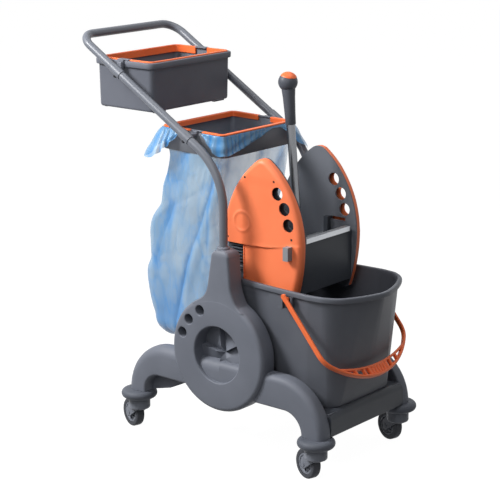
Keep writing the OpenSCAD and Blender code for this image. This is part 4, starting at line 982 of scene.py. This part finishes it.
def plan_ring(circles, grow):
    """In each direction the furthest point of a plan's circles on both sides, grown outwards and evened."""
    a = np.arange(PLAN_N) * 2 * pi / PLAN_N
    n = np.stack([np.cos(a), np.sin(a)], -1)
    c = np.array(circles, float)
    best = np.argmax(n[:, :1] * c[:, 0] + np.abs(n[:, 1:]) * c[:, 1] + c[:, 2], axis=1)
    side = np.where(np.abs(n[:, 1]) < 1e-6, 0, np.sign(n[:, 1]))
    ring = np.stack([c[best, 0], side * c[best, 1]], -1) + (c[best, 2] + grow)[:, None] * n
    return np.mean([np.roll(ring, k, 0) for k in range(-13, 14)], axis=0)


def bucket_ring(up, grow, z, lip=0):
    """A ring of the bucket: up is 0 at the floor and 1 at the wall's top; lip is 1 on the rim."""
    top = plan_ring(WALL_PLAN, grow) * (1 - lip) + plan_ring(RIM_PLAN, grow) * lip
    flat = plan_ring(FLOOR_PLAN, grow) * (1 - up) + top * up
    return np.c_[flat, z - 4 * step(330, 410, flat[:, 0]) * up**6]


BUCKET_LOW, WALL_TOP = 166, 434
outer_up = np.linspace(0.03, 1, 14)
outer_z = BUCKET_LOW + (WALL_TOP - BUCKET_LOW) * outer_up
bucket_rows = [(0, -14, 166), (0, -8, 166), (0, -3, 167.3), (0.01, -0.8, 170.5)]
bucket_rows += [(u, 0, z) for u, z in zip(outer_up, outer_z)]
bucket_rows += [
    (1, 1.2, 435.3, 0.3), (1, 4.6, 435.3, 1), (1, 5.7, 436.2, 1), (1, 6, 437.6, 1), (1, 6, 444.5, 1),
    (1, 5.2, 446.8, 1), (1, 3.4, 448, 1), (1, -1.6, 448, 1), (1, -3, 447.2, 0.9), (1, -3.5, 445.6, 0.7),
    (1, -3.5, 441, 0.2),
]
bucket_rows += [(u, -3.5, z + 2) for u, z in zip(outer_up[::-1], outer_z[::-1])]
bucket_rows += [(0.01, -6, 170.6), (0, -14, 169.8)]
bucket_shell = capped(np.stack([bucket_ring(*row) for row in bucket_rows]))
ears, ear_slot_painted_shades = [], []
for side in (RIGHT, LEFT):
    for x0 in (227, 254):
        low, high = sorted((side * 152.5, side * 161.5))
        ears.append(block((x0, low, 404), (x0 + 4, high, 436), 1.2, axis=2))
    # A black pad between the two ribs of each ear is painted shade, darkening the slots beside the bail's
    # arm.
    low, high = sorted((side * 152.5, side * 157))
    ear_slot_painted_shades.append(block((231, low, 406), (254, high, 435.5), 1, axis=2))
    shelf = np.array([(95, 106), (95, 128), (215, 145), (215, 106)])
    ears.append(capped(np.stack([np.c_[shelf * [1, side], np.full(4, z)] for z in (397, 405)])))
piece("bucket_moulded", [bucket_shell, *ears], dark_tub, "bucket", "dark_plastic", ["bucket"])
piece("bucket_ear_pads", ear_slot_painted_shades, black_steel_and_slot_shade, "bucket", "dark_plastic")

# %% [markdown]
# ## Bail
# The bail is drawn in its own plane: s runs from the pivots to the grip, y across. A bowed outer rail and
# a flatter inner rail make a ladder with struts, and a ribbed grip fills its middle.

# %% Bail
HANG = radians(49.6)
bail_s, bail_n = np.array([cos(HANG), 0, -sin(HANG)]), np.array([sin(HANG), 0, cos(HANG)])
BAIL_Y, CORNER, BOW_R, BOW_C, RAIL_R, RAIL_C = 165.8, (154.5, 115.8), 220, 30, 432.5, -206.5
BOW_A = np.degrees(np.arctan2(CORNER[1], CORNER[0] - BOW_C))


def in_bail(s, y):
    """Points of the bail's plane in the cart's frame."""
    s, y = np.broadcast_arrays(np.asarray(s, float), np.asarray(y, float))
    return PIVOT + s[..., None] * bail_s + y[..., None] * np.array([0.0, 1.0, 0.0])


ARM_PAST = 8
arm_s = np.linspace(-ARM_PAST, CORNER[0], 16)[:-1]
bow = np.concatenate(
    [
        np.stack([arm_s, np.full(15, -BAIL_Y)], -1),
        arc(CORNER[0], -CORNER[1], 50, -90, -BOW_A, 12),
        arc(BOW_C, 0, BOW_R, -BOW_A, BOW_A, 48)[1:-1],
        arc(CORNER[0], CORNER[1], 50, BOW_A, 90, 12),
        np.stack([arm_s[::-1], np.full(15, BAIL_Y)], -1),
    ]
)
bail_parts = [capped(swept(in_bail(bow[:, 0], bow[:, 1]), rounded(13, 7, 3.2, 5), bail_n))]
rail = arc(RAIL_C, 0, RAIL_R, -17.4, 17.4, 40)
bail_parts.append(capped(swept(in_bail(rail[:, 0], rail[:, 1]), rounded(11.5, 6.4, 2.8, 5), bail_n)))


def on_rail(y):
    """Where the inner rail passes y."""
    return RAIL_C + np.sqrt(RAIL_R**2 - np.square(y))


def on_bow(y):
    """Where the outer rail passes y."""
    return BOW_C + np.sqrt(BOW_R**2 - np.square(y))


struts = [(s * p, 6, 10.5) for s in (RIGHT, LEFT) for p in (52, 82)]
grip_ribs = [(p, 8.6, 12.6) for p in range(-33, 34, 11)]
for y0, wide, tall in struts + grip_ribs:
    strut_path = in_bail(np.linspace(on_rail(y0), on_bow(y0), 3), y0)
    bail_parts.append(capped(swept(strut_path, rounded(tall, wide, wide * 0.42, 5), bail_n)))
web_s = np.linspace(-38, 38, 13)
web_rows = np.stack([in_bail(on_bow(web_s), web_s), in_bail(on_rail(web_s), web_s)], 1)
web_loop = np.concatenate([web_rows + 2.2 * bail_n, (web_rows - 2.2 * bail_n)[:, ::-1]], 1)
bail_parts.append(capped(web_loop))
eye = [(0, -3.4), (5.6, -3.4), (6.5, -2.4), (6.5, 2.4), (5.6, 3.4), (0, 3.4)]
pin = [(0, 0), (4.9, 0), (4.9, 10), (0, 10)]
for side in (RIGHT, LEFT):
    arm_at = PIVOT + [0, side * BAIL_Y, 0]
    bail_parts.append(revolved(eye, arm_at, (0, 1, 0), 40))
    bail_parts.append(revolved(pin, PIVOT + [0, side * 154, 0], (0, side, 0), 32))
    bail_parts.append(revolved(eye, arm_at - ARM_PAST * bail_s, (0, 1, 0), 40))
piece("bail_moulded", bail_parts, orange_shell, "bail", "orange_plastic", ["bail"])
print("pieces so far:", len(made))

# %% [markdown]
# ## Wringer covers
# A cover is a stack of closed sections from its foot to its apex. Each runs up the front wall, over a
# soft round-over, across the face and down the back wall. The face carries a shallow relief: a step that
# falls forward, a round boss and a thumb scoop below. The inside, the screw holes and three round eyes
# are then cut out.

# %% Leaf outline and relief
LEAF_X, LEAF_Z, LEAF_HALF, APEX_R, LEAF_FOOT = 135, 541, 119, 30, 405
HIGH_R, LOW_R = 245, 410
PLATE_OUT, COVER_OUT, COVER_SOFT, COVER_WALL = 104, 125, 13, 3
high_c, low_c = HIGH_R - LEAF_HALF, LOW_R - LEAF_HALF
apex_up = sqrt((HIGH_R - APEX_R) ** 2 - high_c**2)
apex_turn = np.arctan2(apex_up, high_c)
low_turn = np.arcsin((LEAF_Z - LEAF_FOOT) / LOW_R)
low_a, high_a = np.linspace(-low_turn, 0, 52)[:-1], np.linspace(0, apex_turn, 92)[:-1]
tip_a = np.linspace(apex_turn, pi / 2, 26)
leaf_a = np.concatenate([low_a, high_a, tip_a])
arc_points = [len(low_a), len(high_a), len(tip_a)]
leaf_r = np.repeat([float(LOW_R), HIGH_R, APEX_R], arc_points)
leaf_cx = np.repeat([LEAF_X - low_c, LEAF_X - high_c, LEAF_X], arc_points)
leaf_cz = np.repeat([LEAF_Z, LEAF_Z, LEAF_Z + apex_up], arc_points)
leaf_n = np.stack([np.cos(leaf_a), np.sin(leaf_a)], -1)
leaf_edge = np.stack([leaf_cx, leaf_cz], -1) + leaf_r[:, None] * leaf_n
EYES = [(183.0, 668.0), (204.7, 634.0), (216.7, 596.0)]
SCREWS = [(85.4, 696.0), (173.7, 696.0), (226.5, 563.0), (33.0, 543.0)]


def relief(x, z):
    """How far the cover's face lies below its outer plane."""
    fall = 1.6 * step(78, 98, x) * step(706, 676, z) * step(525, 545, z)
    boss = 1.8 * np.exp(-(((np.hypot(x - 77, z - 587) - 24) / 3.5) ** 2))
    edge_z = np.interp(x, [73, 105, 135, 162, 188, 208, 224], [529.5, 530, 531.5, 534, 539, 545, 550])
    scoop_deep = np.interp(x, [60, 75, 110, 150, 190, 226], [9, 9, 8, 5.5, 2.6, 0])
    scoop = scoop_deep * step(edge_z + 1.5, edge_z - 3.5, z)
    return fall * (1 - step(edge_z + 4, edge_z - 3, z)) + scoop - boss


def cover_solid(inset, y_in, soft, low):
    """Closed sections of a cover, set in by inset; y_in is its inner face and low a lowering of the face."""
    turn = np.linspace(0, pi / 2, 8)
    face = COVER_OUT - low
    in_by = np.concatenate([[0, 0], soft * (1 - np.cos(turn))[1:]]) + inset
    height = np.concatenate([[y_in, face - soft], face - soft + soft * np.sin(turn[1:])])
    side = leaf_edge[:, None] - in_by[None, :, None] * leaf_n[:, None]
    across = np.linspace(1, -1, 90)[None, 1:-1]
    face_x = LEAF_X + (side[:, -1:, 0] - LEAF_X) * across
    face_z = np.broadcast_to(side[:, -1:, 1], face_x.shape)
    xs = np.concatenate([side[..., 0], face_x, 2 * LEAF_X - side[:, ::-1, 0]], 1)
    zs = np.concatenate([side[..., 1], face_z, side[:, ::-1, 1]], 1)
    flat = np.concatenate([height, np.full(across.shape[1], face), height[::-1]])
    ys = flat - relief(xs, zs) * step(face - soft, face, flat)
    rings = np.stack([xs, -ys, zs], -1)
    foot_end = rings[:1].mean(1, keepdims=True).repeat(rings.shape[1], 1)
    return quads(np.concatenate([foot_end, rings]))


# %% Covers
def post(x, z, r, y0, y1, n=40):
    """A round post or cutter on the right side from y0 out to y1."""
    return revolved([(0, 0), (r, 0), (r, y1 - y0), (0, y1 - y0)], (x, -y0, z), (0, -1, 0), n)


cover_shell = [cover_solid(0, PLATE_OUT, COVER_SOFT, 0)]
cover_room = [cover_solid(COVER_WALL, 90, COVER_SOFT - COVER_WALL, COVER_WALL)]
cover_cuts = [
    block((-20, -140, 300), (75, -90, 530), 0.3), block((215.5, -140, 514.5), (230.5, -90, 547.5), 0.4)
]
cover_cuts += [post(ex, ez, 16, 90, 140, 48) for ex, ez in EYES]
cover_cuts += [post(sx, sz, 3.2, 90, 140, 24) for sx, sz in SCREWS]
ribs = [block((30, -117, z0), (72, -103.5, z0 + 3.5), 0.8) for z0 in range(466, 526, 8)]
trims = [block((75, -118, 405), (78, -104, 531), 0.8), block((22, -121, 530), (77, -104, 533), 0.8)]
for name, side in SIDES.items():
    cover_mesh = carved("shell_" + name, on_side(side, cover_shell), on_side(side, cover_room))
    cover_mesh = carved("cover_" + name, cover_mesh, on_side(side, cover_cuts), crease=30)
    # The covers wear the orange with painted sheen.
    orange = (orange_with_painted_sheen, "wringer", "orange_plastic")
    piece("wringer_cover_" + name, cover_mesh, *orange, ["side_cover_" + name])
    piece("wringer_cover_trim_" + name, on_side(side, trims), *orange)
    piece("wringer_plate_ribs_" + name, on_side(side, ribs), black_plastic_and_plate_shade, "wringer", "dark_plastic")

# %% [markdown]
# ## Lever
# The bare tube stays as it is. The grip swells towards a ball, and an orange cap sits on the ball, turned
# a little forward.

# %% Lever grip
LEAN = radians(5.2)
lever_up = np.array([-sin(LEAN), 0, cos(LEAN)])
SHAFT = np.array([153.0, 0.0, 522.0])
BALL_UP, BALL_R, GRIP_UP = 393, 24, 290
cap_up = np.array([sin(radians(9.8)), 0, cos(radians(9.8))])
grip_profile = np.concatenate(
    [
        [(10.6, GRIP_UP), (11.8, GRIP_UP), (12.6, GRIP_UP + 1.2), (13.4, GRIP_UP + 30), (15, GRIP_UP + 66)],
        [(16.6, BALL_UP - 19.5)],
        arc(0, BALL_UP, BALL_R - 0.3, -46, 90, 26),
    ]
)
grip = revolved(grip_profile, SHAFT, lever_up, 56)
piece("lever_grip_moulded", [grip], grip_grey, "lever", "grey_plastic", ["lever_grip"])
CAP_EDGE = 35
cap_lip = arc(0, 0, BALL_R + 0.2, CAP_EDGE, CAP_EDGE + 2, 1)
cap_profile = np.concatenate([[(18, 13)], cap_lip, arc(0, 0, BALL_R + 0.7, CAP_EDGE + 5, 90, 16)])
cap = revolved(cap_profile, SHAFT + BALL_UP * lever_up, cap_up, 56)
piece("lever_cap_moulded", [cap], orange_shell, "lever", "orange_plastic", ["lever_cap"])
print("pieces in all:", len(made))

# %% [markdown]
# ## Floor, light and backdrop
# A white floor under a soft key light from the left, weaker lights from the front and from above, and a
# dim sky for the rest. Camera, glossy and transmission rays see white behind the cart, while the diffuse
# light of the sky stays low, so that the faces turned away are dark.

# %% Stage
def shown_white(tree, dim, bright):
    """A strength that is bright for camera, glossy and transmission rays and dim for diffuse light."""
    ray = node(tree, "ShaderNodeLightPath").outputs
    seen = calc(tree, "MAXIMUM", ray["Is Camera Ray"], ray["Is Transmission Ray"])
    return span(tree, calc(tree, "MAXIMUM", seen, ray["Is Glossy Ray"]), 0.0, 1.0, dim, bright)


WHITE = (1, 1, 1, 1)
world = bpy.data.worlds.new("studio")
bpy.context.scene.world = world
world.use_nodes = True
sky = world.node_tree
sky.links.new(shown_white(sky, 0.12, 1.0), sky.nodes["Background"].inputs["Strength"])
sky.nodes["Background"].inputs["Color"].default_value = WHITE

floor_mat = bpy.data.materials.new("white floor")
floor_mat.use_nodes = True
tree = floor_mat.node_tree
shader = tree.nodes["Principled BSDF"]
shader.inputs["Base Color"].default_value = (0.12, 0.12, 0.12, 1)
shader.inputs["Roughness"].default_value = 0.9
shader.inputs["Specular IOR Level"].default_value = 0.0
shader.inputs["Emission Color"].default_value = WHITE
tree.links.new(shown_white(tree, 0.0, 0.985), shader.inputs["Emission Strength"])
floor_mesh = bpy.data.meshes.new("floor")
floor_mesh.from_pydata([(-9, -9, 0), (9, -9, 0), (9, 9, 0), (-9, 9, 0)], [], [(0, 1, 2, 3)])
floor_mesh.materials.append(floor_mat)
floor = added("floor", floor_mesh)


AIM = (0, 0, 0.5)


def lamp(name, place, size, watts):
    """A square soft light at a place, turned towards the cart."""
    data = bpy.data.lights.new(name, "AREA")
    data.size, data.energy = size, watts
    obj = added(name, data)
    obj.location = place
    x, y, z = np.subtract(AIM, place)
    obj.rotation_euler = (np.arctan2(np.hypot(x, y), -z), 0, np.arctan2(x, -y) + pi)


lamp("key", (-1.1, -1.45, 2.0), 0.75, 70)
lamp("front", (0.75, -1.8, 1.8), 1.2, 13)
lamp("top", (0.6, 0.4, 3.6), 2.0, 34)
bpy.context.scene.view_settings.view_transform = "Standard"

# %% [markdown]
# ## CAD nodes that stay
# Some solids are right as they are: plates, bolts, shafts and the wringer's hidden drive. They only need
# their finish.

# %% Finishes for the solids that stay
by_slot = {
    "grey_plastic": grey_frame, "dark_plastic": dark_tub, "orange_plastic": orange_shell,
    "grey_coat": coated_tube, "steel": zinc_steel, "tyre": tyre_grey, "bumper_rubber": bumper_grey,
    "film": blue_film,
}
# The right side plate wears the black finish as painted shade; it is the same moulding as the left plate,
# which wears the charcoal finish.
by_node = {
    "clamp_screws": black_steel_and_slot_shade, "cover_screws": black_steel_and_slot_shade, "side_plate_right": black_plastic_and_plate_shade,
    "side_plate_left": dark_plate, "steel_tabs": tab_steel, "press_basket": black_plastic_and_plate_shade,
    "press_plate": black_plastic_and_plate_shade, "lever_tube": drawn_steel,
}
slots = {s["node"]: s["material_slot"] for s in frame["record"]["subparts"]}
for name, obj in frame["nodes"].items():
    obj.data.materials.clear()
    plain = caster_grey if name.startswith("axle") else by_slot[slots[name]]
    obj.data.materials.append(by_node.get(name, plain))

# %% Update the scene
bpy.context.view_layer.update()
